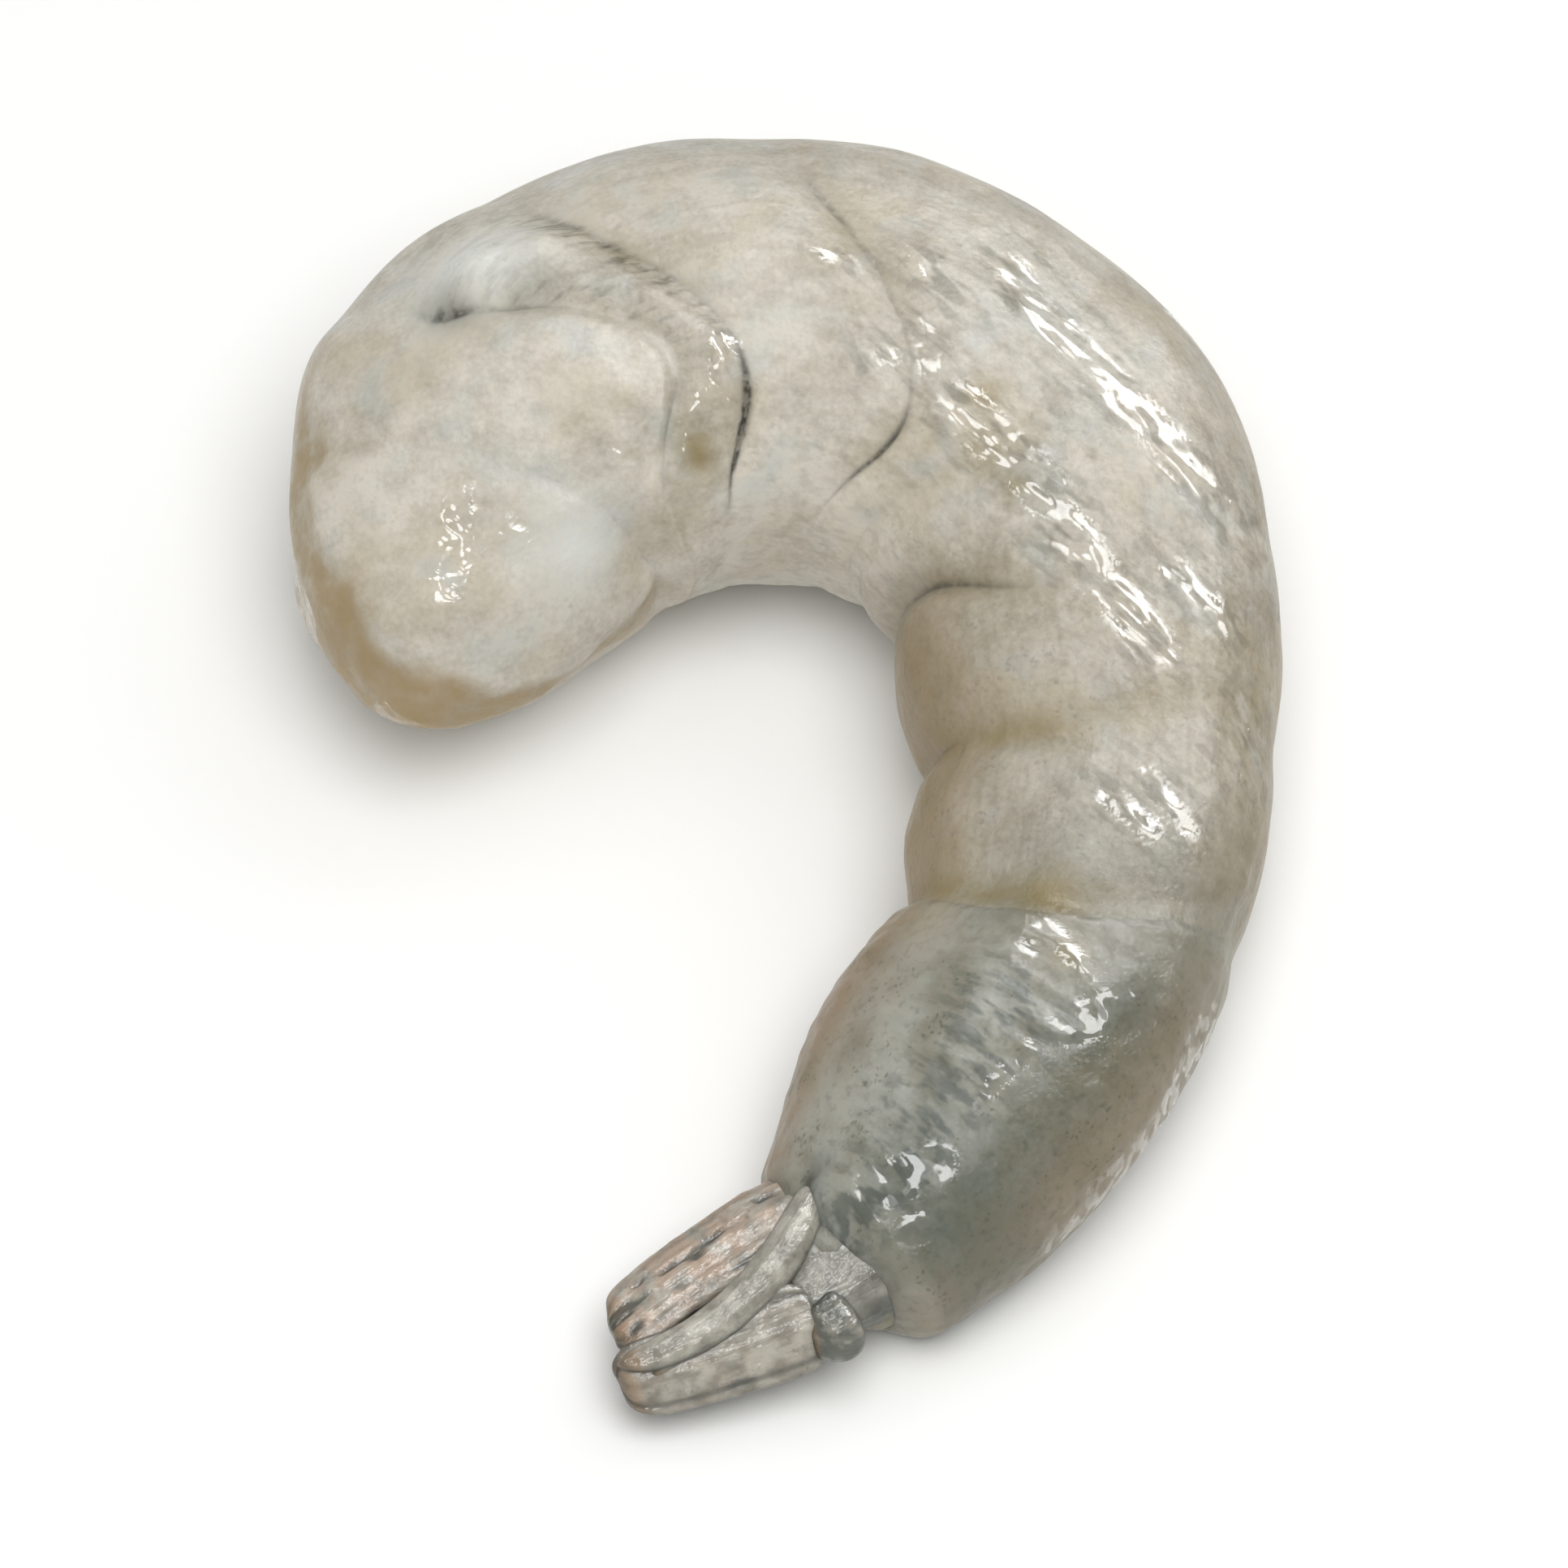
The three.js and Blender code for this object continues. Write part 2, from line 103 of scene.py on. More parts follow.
# Each line between segments: where it crosses the back and the belly, how far it sweeps tailwards on
# the flank, the angle where that peaks, its spread, the groove's depth at back, flank and belly, and how
# much a sharp crease widens its dark thread of painted shade. Creases get sharp dark threads of painted
# shade, bands are soft and brown, and at a gape the thread stands open as wider painted shade: each has an
# angle, a spread and a strength.
lineColumns = (
    "back", "belly", "sweep", "peak", "spread", "groove", "widening", "creases", "bands", "gapes",
)
lines = {name: dict(zip(lineColumns, row)) for name, row in {
    "collar": (4.8, 3.5, 9.0, 110, 29, (0.0, 0.34, 0.05), 0.14,
               [(67, 6, 1.0), (80, 8, 0.45), (124, 8, 0.3)], [(95, 28, 0.3)], []),
    "first": (10.2, 12.4, 6.2, 118, 34, (0.12, 0.5, 0.05), 0.27,
              [(74, 24, 0.35), (131, 16, 1.0)], [(76, 22, 0.5)], [(131, 19, 0.9)]),
    "second": (19.0, 24.0, 8.2, 120, 38, (0.12, 0.34, 0.05), 0.14,
               [(72, 9, 0.55), (92, 9, 0.2), (131, 15, 1.0)], [(85, 30, 0.3)], []),
    "third": (31.0, 33.0, 5.0, 108, 40, (0.15, 0.16, 0.15), 0.14, [(168, 18, 0.1)], [(95, 40, 0.12)], []),
    "fourth": (42.0, 42.6, 4.4, 95, 45, (0.15, 0.42, 1.0), 0.14,
               [(30, 6, 0.5), (142, 30, 0.7)], [(130, 40, 0.35)], []),
    "fifth": (51.5, 53.2, 2.0, 105, 40, (0.18, 0.42, 1.2), 0.14, [(165, 20, 0.4)], [(112, 48, 0.7)], []),
    "sixth": (60.5, 64.6, 1.8, 100, 40, (0.25, 0.4, 0.9), 0.14, [(168, 16, 0.3)], [(122, 45, 0.75)], []),
}.items()}
# the creases are cut in; their dark threads, their gapes and the soft shade beside them are painted shade
thread = {
    "stray": (0.25, 2.5, 4),     # how far a crease strays from its line, over what length, and the seed
    "depth": 0.2,
    "depthWidth": 0.25,
    "width": 0.13,               # of the dark thread where the crease is faint
    "core": 0.75,                # its share of the darkness; the rest is a soft shade beside it
    "shadeWidth": 0.6,
    "gapeWidth": 0.4,
    "bandWidth": 1.1,
    "bandMean": 0.75,
    "bandUneven": (0.4, 1.3, 6),    # strength, cell and seed
}
groove = {
    "headwards": 1.1,
    "tailwards": 0.55,
    "softTailwards": 1.5,
    "softDepth": 0.35,
    # between the back and the belly muscle, with where it starts and ends along the spine
    "lateral": {"depth": 0.5, "angle": 70, "width": 15, "start": (18, 27), "end": (62, 53)},
}
swell = {
    "back": 0.2,
    "flank": 0.32,
    "belly": (0.05, 0.85),   # the belly is smooth at first and notched towards the tail
    "bellyChange": (34, 43),
    "power": 1.6,
    "mean": 0.5,
    "neckStart": 9,
}
lobe = {
    "height": 0.22,
    "collarBlend": (7.0, 1.4, 5.0),    # how softly it ends at the back, on the flank and at the belly
    "flankStart": (52, 66),
    "bellyStart": (120, 145),
    "tuck": 0.7,             # the belly side of the cut end is drawn in
    "tuckRound": (112, 165),
    "tuckReach": (-12.0, 2.0),
}
rim = {
    "drop": 0.55,
    "edge": 0.7,             # how far the thin rim reaches up from the outline of the cut end
    "backFade": (0.6, 0.45),     # how soon it ends towards the back and the belly, and from where
    "bellyFade": (0.5, 0.1),
    "alongFade": 0.05,
    "ragged": [(0.05, 0.3, 31), (0.025, 0.13, 32)],    # strength, cell and seed
    "softness": (-0.03, 0.07),
    "facing": {"up": 0.866, "forwards": 0.485, "bellywards": 0.125},    # the way that the cut end is seen
}
# A short tongue of muscle behind the collar and the dent behind it: place, size and height of each.
tongue = [
    ((7.3, 66), (1.7, 7), 0.9),
    ((9.8, 71), (2.4, 6), 0.6),
    ((7.0, 42), (1.6, 11), -0.5),
]
shell = {
    "step": 0.3,
    "stepWidth": 1.6,
    "hem": 0.08,
    "hemWidth": 1.8,
    "thickness": 0.3,
    "edge": 0.35,            # its front edge lies this far behind the last line
    "edgeStray": (0.3, 3.0, 7),    # strength, cell and seed
    "edgeShare": 0.15,       # the front edge is thin, and full thickness comes after edgeReach
    "edgeReach": 4,
    "bluntness": 40,
    "inset": 0.035,
    "overhang": 0.2,
    "flesh": 0.15,           # the flesh is drawn in under it
    "fleshReach": (1.0, 3.0),
    "shoulder": 0.3,
    "shoulderWidth": 1.7,
}
ridge = {"height": 0.35, "angle": 93, "width": 10, "rise": (63, 67)}    # along the upper side of the shell


def smooth(value, low, high):
    # a soft step from 0 at low to 1 at high; low may be the larger
    t = np.clip((value - low) / (high - low), 0, 1)
    return t * t * (3 - 2 * t)


def windowAt(degrees, centre, spread):
    # 1 at an angle round the body, softly less beside it
    return np.exp(-((degrees - centre) / spread) ** 2)


def spotsAt(spots, s, degrees):
    # soft round patches added up: centre along the spine and round the body, size in mm and degrees,
    # and strength
    total = 0
    for (along, around), (length, width), strength in spots:
        total = total + strength * np.exp(-((s - along) / length) ** 2 - ((degrees - around) / width) ** 2)
    return total


def throughKnots(knots, values, at):
    # a cubic through the knots; its slope is the mean of the spans beside a knot, or 0 at a turn
    knots = np.asarray(knots, float)
    values = np.asarray(values, float)
    spans = np.diff(values) / np.diff(knots)
    slopes = np.concatenate([spans[:1], (spans[:-1] + spans[1:]) / 2, spans[-1:]])
    slopes[1:-1][spans[:-1] * spans[1:] <= 0] = 0
    i = np.clip(np.searchsorted(knots, at, side="right") - 1, 0, len(knots) - 2)
    width = knots[i + 1] - knots[i]
    t = np.clip((at - knots[i]) / width, 0, 1)
    rise = t * t * (3 - 2 * t)
    bend = slopes[i] * t * (1 - t) ** 2 - slopes[i + 1] * t * t * (1 - t)
    return values[i] * (1 - rise) + values[i + 1] * rise + width * bend


def makeSpine(body):
    # the heading is a smooth curve through the turns, and the path is its running sum
    joints = np.concatenate([[0], np.cumsum(body["lengths"])])
    headings = body["firstHeading"] - np.concatenate([[0], np.cumsum(body["turns"])])
    middles = (joints[:-1] + joints[1:]) / 2
    knots = np.concatenate([[0], middles, joints[-1:]])
    s = np.linspace(0, joints[-1], body["steps"] + 1)
    heading = np.radians(throughKnots(joints, headings, s))
    half = (heading[1:] + heading[:-1]) / 2
    step = s[1] - s[0]
    return {
        "s": s,
        "length": joints[-1],
        "heading": heading,
        "x": np.concatenate([[0], np.cumsum(np.cos(half) * step)]),
        "y": np.concatenate([[0], np.cumsum(np.sin(half) * step)]),
        "halfDepth": throughKnots(knots, body["depths"], s) / 2,
        "halfWidth": throughKnots(knots, body["widths"], s) / 2,
    }


spine = makeSpine(body)


def stationAt(s):
    return [np.interp(s, spine["s"], spine[key]) for key in ("x", "y", "heading", "halfDepth", "halfWidth")]


def onTable(height, blend):
    # flat on the table below -blend, the height itself above blend, a parabola between
    bend = (height + blend) ** 2 / (4 * blend)
    return np.where(height > blend, height, np.where(height < -blend, 0, bend))


def sideOf(angle):
    return np.where(angle > np.pi, 2 * np.pi - angle, angle)


def lineAt(name, side):
    # half a cosine from the back to the belly, and a window of sweep on the flank
    line = lines[name]
    across = (1 - np.cos(side)) / 2
    sweep = line["sweep"] * windowAt(np.degrees(side), line["peak"], line["spread"])
    return line["back"] + (line["belly"] - line["back"]) * across + sweep


def strengthAt(windows, side):
    degrees = np.degrees(side)
    return np.minimum(sum(strength * windowAt(degrees, *window) for *window, strength in windows), 1)


def roundSection(values, side):
    # a value given at the back, the flank and the belly, blended round the section
    back, flank, belly = values
    c = np.cos(side)
    return flank * np.sin(side) ** 2 + np.where(c > 0, back, belly) * c ** 2


def signedPower(value, power):
    return np.sign(value) * np.abs(value) ** power


def valueNoise(points, cell, seed):
    # smooth random values from -1 to 1: one for each corner of a lattice, scrambled from its whole
    # numbers by the usual large primes, and blended between the corners
    scaled = points / np.asarray(cell, float)
    base = np.floor(scaled).astype(np.int64)
    t = smooth(scaled - base, 0, 1)
    total = np.zeros(points.shape[:-1])
    for corner in np.ndindex(2, 2, 2):
        at = base + corner
        mixed = (at[..., 0] * 73856093) ^ (at[..., 1] * 19349663) ^ (at[..., 2] * 83492791)
        mixed = mixed ^ (seed * 2971215)
        mixed = ((mixed ^ (mixed >> 13)) * 1274126177) & 0x7FFFFFFF
        value = ((mixed ^ (mixed >> 16)) & 0xFFFF) / 32767.5 - 1
        total = total + value * np.where(corner, t, 1 - t).prod(axis=-1)
    return total


def straightened(s, angle, ring=1.0, along=0.0):
    # the body unrolled along its spine, so that a pattern can follow the muscle
    radius = body["meanRadius"] * ring
    return np.stack(np.broadcast_arrays(s + along, radius * np.cos(angle), radius * np.sin(angle)), axis=-1)


def domeReach(angle, ring, dome):
    # how far the rounded end stands out from the spine's end
    atHead = body["headDome"] + body["headDomeTilt"] * np.cos(angle) * ring
    return np.where(dome < 0, atHead, body["tailDome"])


def raisedAt(angle, ring, dome):
    # how far a point of the cut end, taken as a unit ball, faces the way that it is seen from
    up = rim["facing"]["up"] * ring * np.sin(angle)
    bellywards = rim["facing"]["bellywards"] * ring * np.cos(angle)
    return up - rim["facing"]["forwards"] * np.minimum(dome, 0) - bellywards


def rimOf(s, angle, ring, dome):
    # 1 on the thin edge of the cut end, at its outer and lower side, 0 on the lobe that bulges out of it;
    # the place on the rounded end is taken as a point of a unit ball
    outward = ring * np.cos(angle)
    ball = np.stack(np.broadcast_arrays(outward, ring * np.sin(angle), -dome), axis=-1)
    backFade, backFrom = rim["backFade"]
    bellyFade, bellyFrom = rim["bellyFade"]
    edge = rim["edge"] - backFade * np.maximum(0, outward - backFrom) - rim["alongFade"] * s
    edge = edge - bellyFade * np.maximum(0, -bellyFrom - outward)
    edge = edge + sum(strength * valueNoise(ball, cell, seed) for strength, cell, seed in rim["ragged"])
    return smooth(edge - raisedAt(angle, ring, dome), *rim["softness"])


def mainRelief(s, angle, ring, dome):
    # grooves at the lines, flesh swelling between them, the lobe of the head end and the shell's edges
    side = sideOf(angle)
    degrees = np.degrees(side)
    places = {name: lineAt(name, side) for name in lines}
    height = spotsAt(tongue, s, degrees)
    for name, line in lines.items():
        gap = s - places[name]
        sharp = strengthAt(line["creases"], side)
        tailwards = groove["softTailwards"] + (groove["tailwards"] - groove["softTailwards"]) * sharp
        width = np.where(gap > 0, tailwards, groove["headwards"])
        depth = groove["softDepth"] + (1 - groove["softDepth"]) * sharp
        depth = depth * roundSection(line["groove"], side)
        height = height - depth * np.exp(-(gap / width) ** 2)
    few, many = swell["belly"]
    belly = few + (many - few) * smooth(s, *swell["bellyChange"])
    around = roundSection((swell["back"], swell["flank"], belly), side)
    ends = [-swell["neckStart"], *places.values(), spine["length"]]
    for start, end in zip(ends[:-1], ends[1:]):
        t = (s - start) / (end - start)
        crown = np.sin(np.pi * np.clip(t, 0, 1)) ** swell["power"] - swell["mean"]
        height = height + around * crown * ((t >= 0) & (t < 1))
    beforeCollar = places["collar"] - s
    atBack, onFlank, atBelly = lobe["collarBlend"]
    blend = atBack + (onFlank - atBack) * smooth(degrees, *lobe["flankStart"])
    blend = blend + (atBelly - onFlank) * smooth(degrees, *lobe["bellyStart"])
    onNeck = smooth(beforeCollar, 0, blend)
    height = height + (lobe["height"] - rim["drop"] * rimOf(s, angle, ring, dome)) * onNeck
    tucked = smooth(degrees, *lobe["tuckRound"]) * smooth(beforeCollar, *lobe["tuckReach"])
    lateral = groove["lateral"]
    sunk = smooth(s, *lateral["start"]) * smooth(s, *lateral["end"])
    sunk = sunk * windowAt(degrees, lateral["angle"], lateral["width"])
    ridged = smooth(s, *ridge["rise"]) * windowAt(degrees, ridge["angle"], ridge["width"])
    height = height - lobe["tuck"] * tucked - lateral["depth"] * sunk + ridge["height"] * ridged
    hemStart = spine["length"] - shell["hemWidth"]
    height = height + shell["step"] * smooth(s - places["sixth"], 0, shell["stepWidth"])
    return height + shell["hem"] * smooth(s, hemStart, hemStart + shell["hemWidth"] / 2)


# A zone is a list of soft steps that are multiplied. Each step names a measure and where it is none and
# where it is full: s along the spine, round the body in degrees from the back, or the distance past the
# collar, past the first line or past the spine's end. Near is a window: its angle and spread.


def measuresAt(s, angle):
    side = sideOf(angle)
    return {
        "s": s,
        "round": np.degrees(side),
        "pastCollar": s - lineAt("collar", side),
        "pastFirst": s - lineAt("first", side),
        "pastEnd": s - spine["length"],
    }


def amountsOf(zones, measures):
    amounts = {"everywhere": 1.0}
    for name, steps in zones.items():
        amounts[name] = 1.0
        for measure, low, high in steps:
            if measure == "near":
                amounts[name] = amounts[name] * windowAt(measures["round"], low, high)
            else:
                amounts[name] = amounts[name] * smooth(measures[measure], low, high)
    return amounts


def mixOf(shares, amounts):
    return sum(share * amounts[name] for name, share in shares.items())


reliefZones = {
    "neck": [("pastCollar", 0.5, -1.5)],
    "trunk": [("pastCollar", -1.5, 0.5), ("s", 64, 58)],
    "tail": [("s", 58, 64)],
    "wrinkled": [("near", 84, 13), ("s", 64, 69)],
    "strip": [("pastCollar", 0.0, 0.8), ("pastFirst", 0.3, -0.5), ("round", 50, 66), ("round", 118, 106)],
}
# the unevenness of the flesh: height, cell of the unrolled body and seed, and its share of each zone
unevenness = [
    (0.16, (7, 4, 4), 1, {"everywhere": 1}),
    (0.4, 3.6, 8, {"neck": 1}),
    (0.15, 1.7, 14, {"neck": 1}),
    (0.07, (2.4, 1.6, 1.6), 2, {"everywhere": 1, "neck": -0.5}),
    (0.05, (2.4, 0.85, 0.85), 3, {"trunk": 1}),
    (0.05, (0.8, 1.7, 1.7), 9, {"tail": 1}),
    (0.015, (0.8, 0.7, 0.7), 10, {"everywhere": 1}),
    (0.16, (0.62, 1.5, 1.5), 16, {"wrinkled": 1}),
]
fibreRidges = {"height": 0.07, "cell": (2.2, 0.5, 0.5), "seed": 5}
# small dents and bumps: place, size and height
dents = [
    ((83, 100), (3.0, 10), 0.4),
    ((82.2, 117), (0.9, 7), -0.4),
    ((12.0, 134), (0.9, 6), -0.12),
    ((16.2, 113), (0.6, 7), 0.3),
    ((5.6, 65), (0.8, 5), -0.2),
]


def strayAt(at):
    reach, cell, seed = thread["stray"]
    return reach * valueNoise(at, cell, seed)


def fineRelief(s, angle, ring, along):
    # what is too fine for the solid: folds, creases, fibres and the unevenness of flesh
    side = sideOf(angle)
    at = straightened(s, angle, ring, along)
    amounts = amountsOf(reliefZones, measuresAt(s, angle))
    height = spotsAt(dents, s, np.degrees(side))
    for rise, cell, seed, shares in unevenness:
        height = height + rise * mixOf(shares, amounts) * valueNoise(at, cell, seed)
    ridged = 1 - 2 * np.abs(valueNoise(at, fibreRidges["cell"], fibreRidges["seed"]))
    height = height + fibreRidges["height"] * amounts["strip"] * ridged
    stray = strayAt(at)
    for name, line in lines.items():
        gap = s - lineAt(name, side) - stray
        crease = strengthAt(line["creases"], side)
        height = height - thread["depth"] * crease * np.exp(-(gap / thread["depthWidth"]) ** 2)
    return height


def bodyPoints(s, angle, ring=1.0, dome=0.0, extra=0.0, detail=True):
    # an oval carried along the spine; relief pushes each point out along the oval's own normal
    x, y, heading, halfDepth, halfWidth = stationAt(s)
    c = np.cos(angle)
    outward = signedPower(c, body["roundness"])
    upward = signedPower(np.sin(angle), body["roundness"])
    upward = upward * (1 - body["bellyNarrowing"] * np.maximum(0, -c))
    normal = np.stack([outward / halfDepth, upward / halfWidth])
    normal = normal / np.hypot(*normal)
    along = dome * domeReach(angle, ring, dome)
    proud = (mainRelief(s, angle, ring, dome) + extra) * ring
    if detail:
        fine = fineRelief(s, angle, ring, along)
        proud = proud + fine * ring
        along = along + fine * dome
    across = halfDepth * outward * ring + normal[0] * proud
    height = halfWidth * upward * ring + normal[1] * proud
    px = x + np.cos(heading) * along - np.sin(heading) * across
    py = y + np.sin(heading) * along + np.cos(heading) * across
    pz = onTable(halfWidth - body["press"] + height, body["pressBlend"])
    return np.stack([px, py, pz], axis=-1)


# mesh making


def gridFaces(rows, around, firstVertex, wrapRows=False):
    # quads between neighbouring rows of a grid that closes on itself round each row
    i = np.arange(rows if wrapRows else rows - 1)[:, None]
    j = np.arange(around)[None, :]
    nextI = (i + 1) % rows
    nextJ = (j + 1) % around
    corners = [i * around + j, i * around + nextJ, nextI * around + nextJ, nextI * around + j]
    return np.stack(np.broadcast_arrays(*corners), axis=-1).reshape(-1, 4) + firstVertex


def withPoles(grid):
    # the first and the last row shrink to one point each
    rows, around = grid.shape[:2]
    inner = grid[1:-1].reshape(-1, grid.shape[2])
    vertices = np.concatenate([grid[0, :1], inner, grid[-1, :1]])
    quads = gridFaces(rows - 2, around, 1)
    j = np.arange(around)
    nextJ = (j + 1) % around
    lastRow = 1 + (rows - 3) * around
    near = np.stack([np.zeros_like(j), 1 + nextJ, 1 + j], axis=-1)
    far = np.stack([lastRow + j, lastRow + nextJ, np.full_like(j, len(vertices) - 1)], axis=-1)
    return vertices, quads, np.concatenate([near, far])


def gatherPoles(values, rows, around):
    # an attribute for each grid point, brought down to the vertices that withPoles keeps
    grid = values.reshape(rows, around, -1)
    kept = np.concatenate([grid[0, :1], grid[1:-1].reshape(-1, grid.shape[2]), grid[-1, :1]])
    return kept if grid.shape[2] > 1 else kept[:, 0]


def makePiece(name, points, quads, triangles, attributes, material):
    # one mesh from whole arrays, in metres in the frame, riding on the body
    mesh = bpy.data.meshes.new(name)
    mesh.vertices.add(len(points))
    mesh.vertices.foreach_set("co", ((points + frameShift) * millimetre).astype(np.float32).ravel())
    flat = np.concatenate([quads.ravel(), triangles.ravel()]).astype(np.int32)
    sizes = np.concatenate([np.full(len(quads), 4), np.full(len(triangles), 3)]).astype(np.int32)
    mesh.loops.add(len(flat))
    mesh.loops.foreach_set("vertex_index", flat)
    mesh.polygons.add(len(sizes))
    mesh.polygons.foreach_set("loop_start", np.concatenate([[0], np.cumsum(sizes)[:-1]]).astype(np.int32))
    mesh.polygons.foreach_set("use_smooth", np.ones(len(sizes), bool))
    for key, values in attributes.items():
        kind, part = ("FLOAT_VECTOR", "vector") if values.ndim == 2 else ("FLOAT", "value")
        mesh.attributes.new(key, kind, "POINT").data.foreach_set(part, values.astype(np.float32).ravel())
    mesh.update(calc_edges=True)
    mesh.validate()
    mesh.materials.append(material)
    piece = bpy.data.objects.new(name, mesh)
    bpy.context.scene.collection.objects.link(piece)
    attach(piece, "root")
    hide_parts("shrimp")


# materials

softStep = {"interpolation_type": "SMOOTHSTEP"}


def linear(code):
    # an sRGB hex colour as the linear values that a shader reads
    parts = np.array([int(code[i:i + 2], 16) for i in (1, 3, 5)]) / 255
    values = np.where(parts <= 0.04045, parts / 12.92, ((parts + 0.055) / 1.055) ** 2.4)
    return (*values, 1.0)


def addNode(tree, kind, inputs=(), output=0, **settings):
    # one node with its settings; inputs are values or other nodes' outputs, in order or by name
    node = tree.nodes.new("ShaderNode" + kind)
    for key, value in settings.items():
        setattr(node, key, value)
    for key, value in inputs.items() if isinstance(inputs, dict) else enumerate(inputs):
        if isinstance(value, bpy.types.NodeSocket):
            tree.links.new(value, node.inputs[key])
        else:
            node.inputs[key].default_value = value
    return node.outputs[output] if node.outputs else None


def newMaterial(name):
    material = bpy.data.materials.new(name)
    material.use_nodes = True
    material.node_tree.nodes.clear()
    return material, material.node_tree


def patternOf(tree, vector, size, detail=2, cut=None, turn=0):
    # cloudy noise. Its size is in features a metre, or is one feature's size along and across, which turn
    # turns in plan by degrees. A cut is where it is none, where it is full and, if given, the values there.
    scale = size
    if isinstance(size, tuple):
        scale = 1.0
        placing = {"Vector": vector, "Scale": size, "Rotation": (0.0, 0.0, math.radians(turn))}
        vector = addNode(tree, "Mapping", placing, vector_type="TEXTURE")
    pattern = addNode(tree, "TexNoise", {"Vector": vector, "Scale": scale, "Detail": detail}, "Fac")
    return addNode(tree, "MapRange", [pattern, *cut], **softStep) if cut else pattern


def amountOf(tree, *factors):
    # masks by their names, patterns and shares, multiplied
    total = None
    for factor in factors:
        if isinstance(factor, str):
            factor = addNode(tree, "Attribute", (), "Fac", attribute_name=factor)
        total = factor if total is None else addNode(tree, "Math", [total, factor], operation="MULTIPLY")
    return total


def clouded(tree, mask, place, clouds):
    # a mask made uneven by patterns about their middle: features a metre, detail and share of each
    total = amountOf(tree, mask)
    for size, detail, share in clouds:
        cloud = patternOf(tree, place, size, detail)
        total = addNode(tree, "Math", [cloud, share, total], operation="MULTIPLY_ADD")
    middle = sum(share for size, detail, share in clouds) / 2
    return addNode(tree, "Math", [total, middle], operation="SUBTRACT", use_clamp=True)


def painted(tree, ground, layers):
    # colours over the ground, one after another: a colour, then the factors of how much it covers
    colour = linear(ground)
    for code, *factors in layers:
        mixed = {0: amountOf(tree, *factors), 6: colour, 7: linear(code)}
        colour = addNode(tree, "Mix", mixed, 2, data_type="RGBA")
    return colour


def reliefOf(tree, look, heights):
    # heights are factors that are multiplied, then added up
    strength, distance = look
    total = 0.0
    for factors in heights:
        total = addNode(tree, "Math", [amountOf(tree, *factors), total], operation="ADD")
    return addNode(tree, "Bump", {"Strength": strength, "Distance": distance, "Height": total})


def finishOf(tree, shader):
    surface = addNode(tree, "BsdfPrincipled", shader)
    addNode(tree, "OutputMaterial", {"Surface": surface})


inkLook = {
    "bend": 0.0005,          # metres that the dots' outlines are pulled about
    "bendFineness": 0.9,     # of the pulling and of the grain, beside the dots' own
    "grainFineness": 0.8,
    "patches": (0.35, 0.7, 0.0, 0.42),
    "dotEdge": (0.0, 0.22),
    "dotShare": 0.75,
    "grain": (0.5, 0.75, 0.0, 0.5),
}


def inkDots(tree, place, scale, patchScale):
    # pigment cells: small ragged dots of many sizes, over a fine cloudy grain
    bend = (inkLook["bend"],) * 3
    fineness = scale * inkLook["bendFineness"]
    jitter = addNode(tree, "TexNoise", {"Vector": place, "Scale": fineness, "Detail": 1.0}, "Color")
    moved = addNode(tree, "VectorMath", [jitter, bend, place], operation="MULTIPLY_ADD")
    cells = addNode(tree, "TexVoronoi", {"Vector": moved, "Scale": scale, "Randomness": 1.0}, "Distance")
    size = patternOf(tree, place, patchScale, 3, inkLook["patches"])
    inside = addNode(tree, "Math", [size, cells], operation="SUBTRACT")
    dot = addNode(tree, "MapRange", [inside, *inkLook["dotEdge"]], **softStep)
    grain = patternOf(tree, place, scale * inkLook["grainFineness"], 2, inkLook["grain"])
    parts = [dot, inkLook["dotShare"], grain]
    return addNode(tree, "Math", parts, operation="MULTIPLY_ADD", use_clamp=True)


# features along and across, in mm of the unrolled body and in metres of the table's plan
fibreCell = (2.5, 0.53, 0.53)
streakCell = (0.0023, 0.00095, 0.0011)    # the film of water breaks into streaks along the body's flank
streakTurn = -42
fleshLook = {
    "thin": "#857b65",
    "thick": "#d0cbbf",
    "clouds": [(240, 3, 1.0), (900, 3, 0.7), (3200, 1, 0.5)],
    "leastFilm": 0.16,
    "relief": (0.5, 0.0003),         # strength, and depth in metres
    "filmRelief": (0.8, 0.00027),
    "shader": {
        "Subsurface Weight": 0.7,
        "Subsurface Radius": (1.0, 0.8, 0.62),
        "Subsurface Scale": 0.0014,
        "Roughness": 0.42,
        "IOR": 1.38,
        "Specular IOR Level": 0.2,
        "Coat Roughness": 0.05,
        "Coat IOR": 1.42,
    },
}


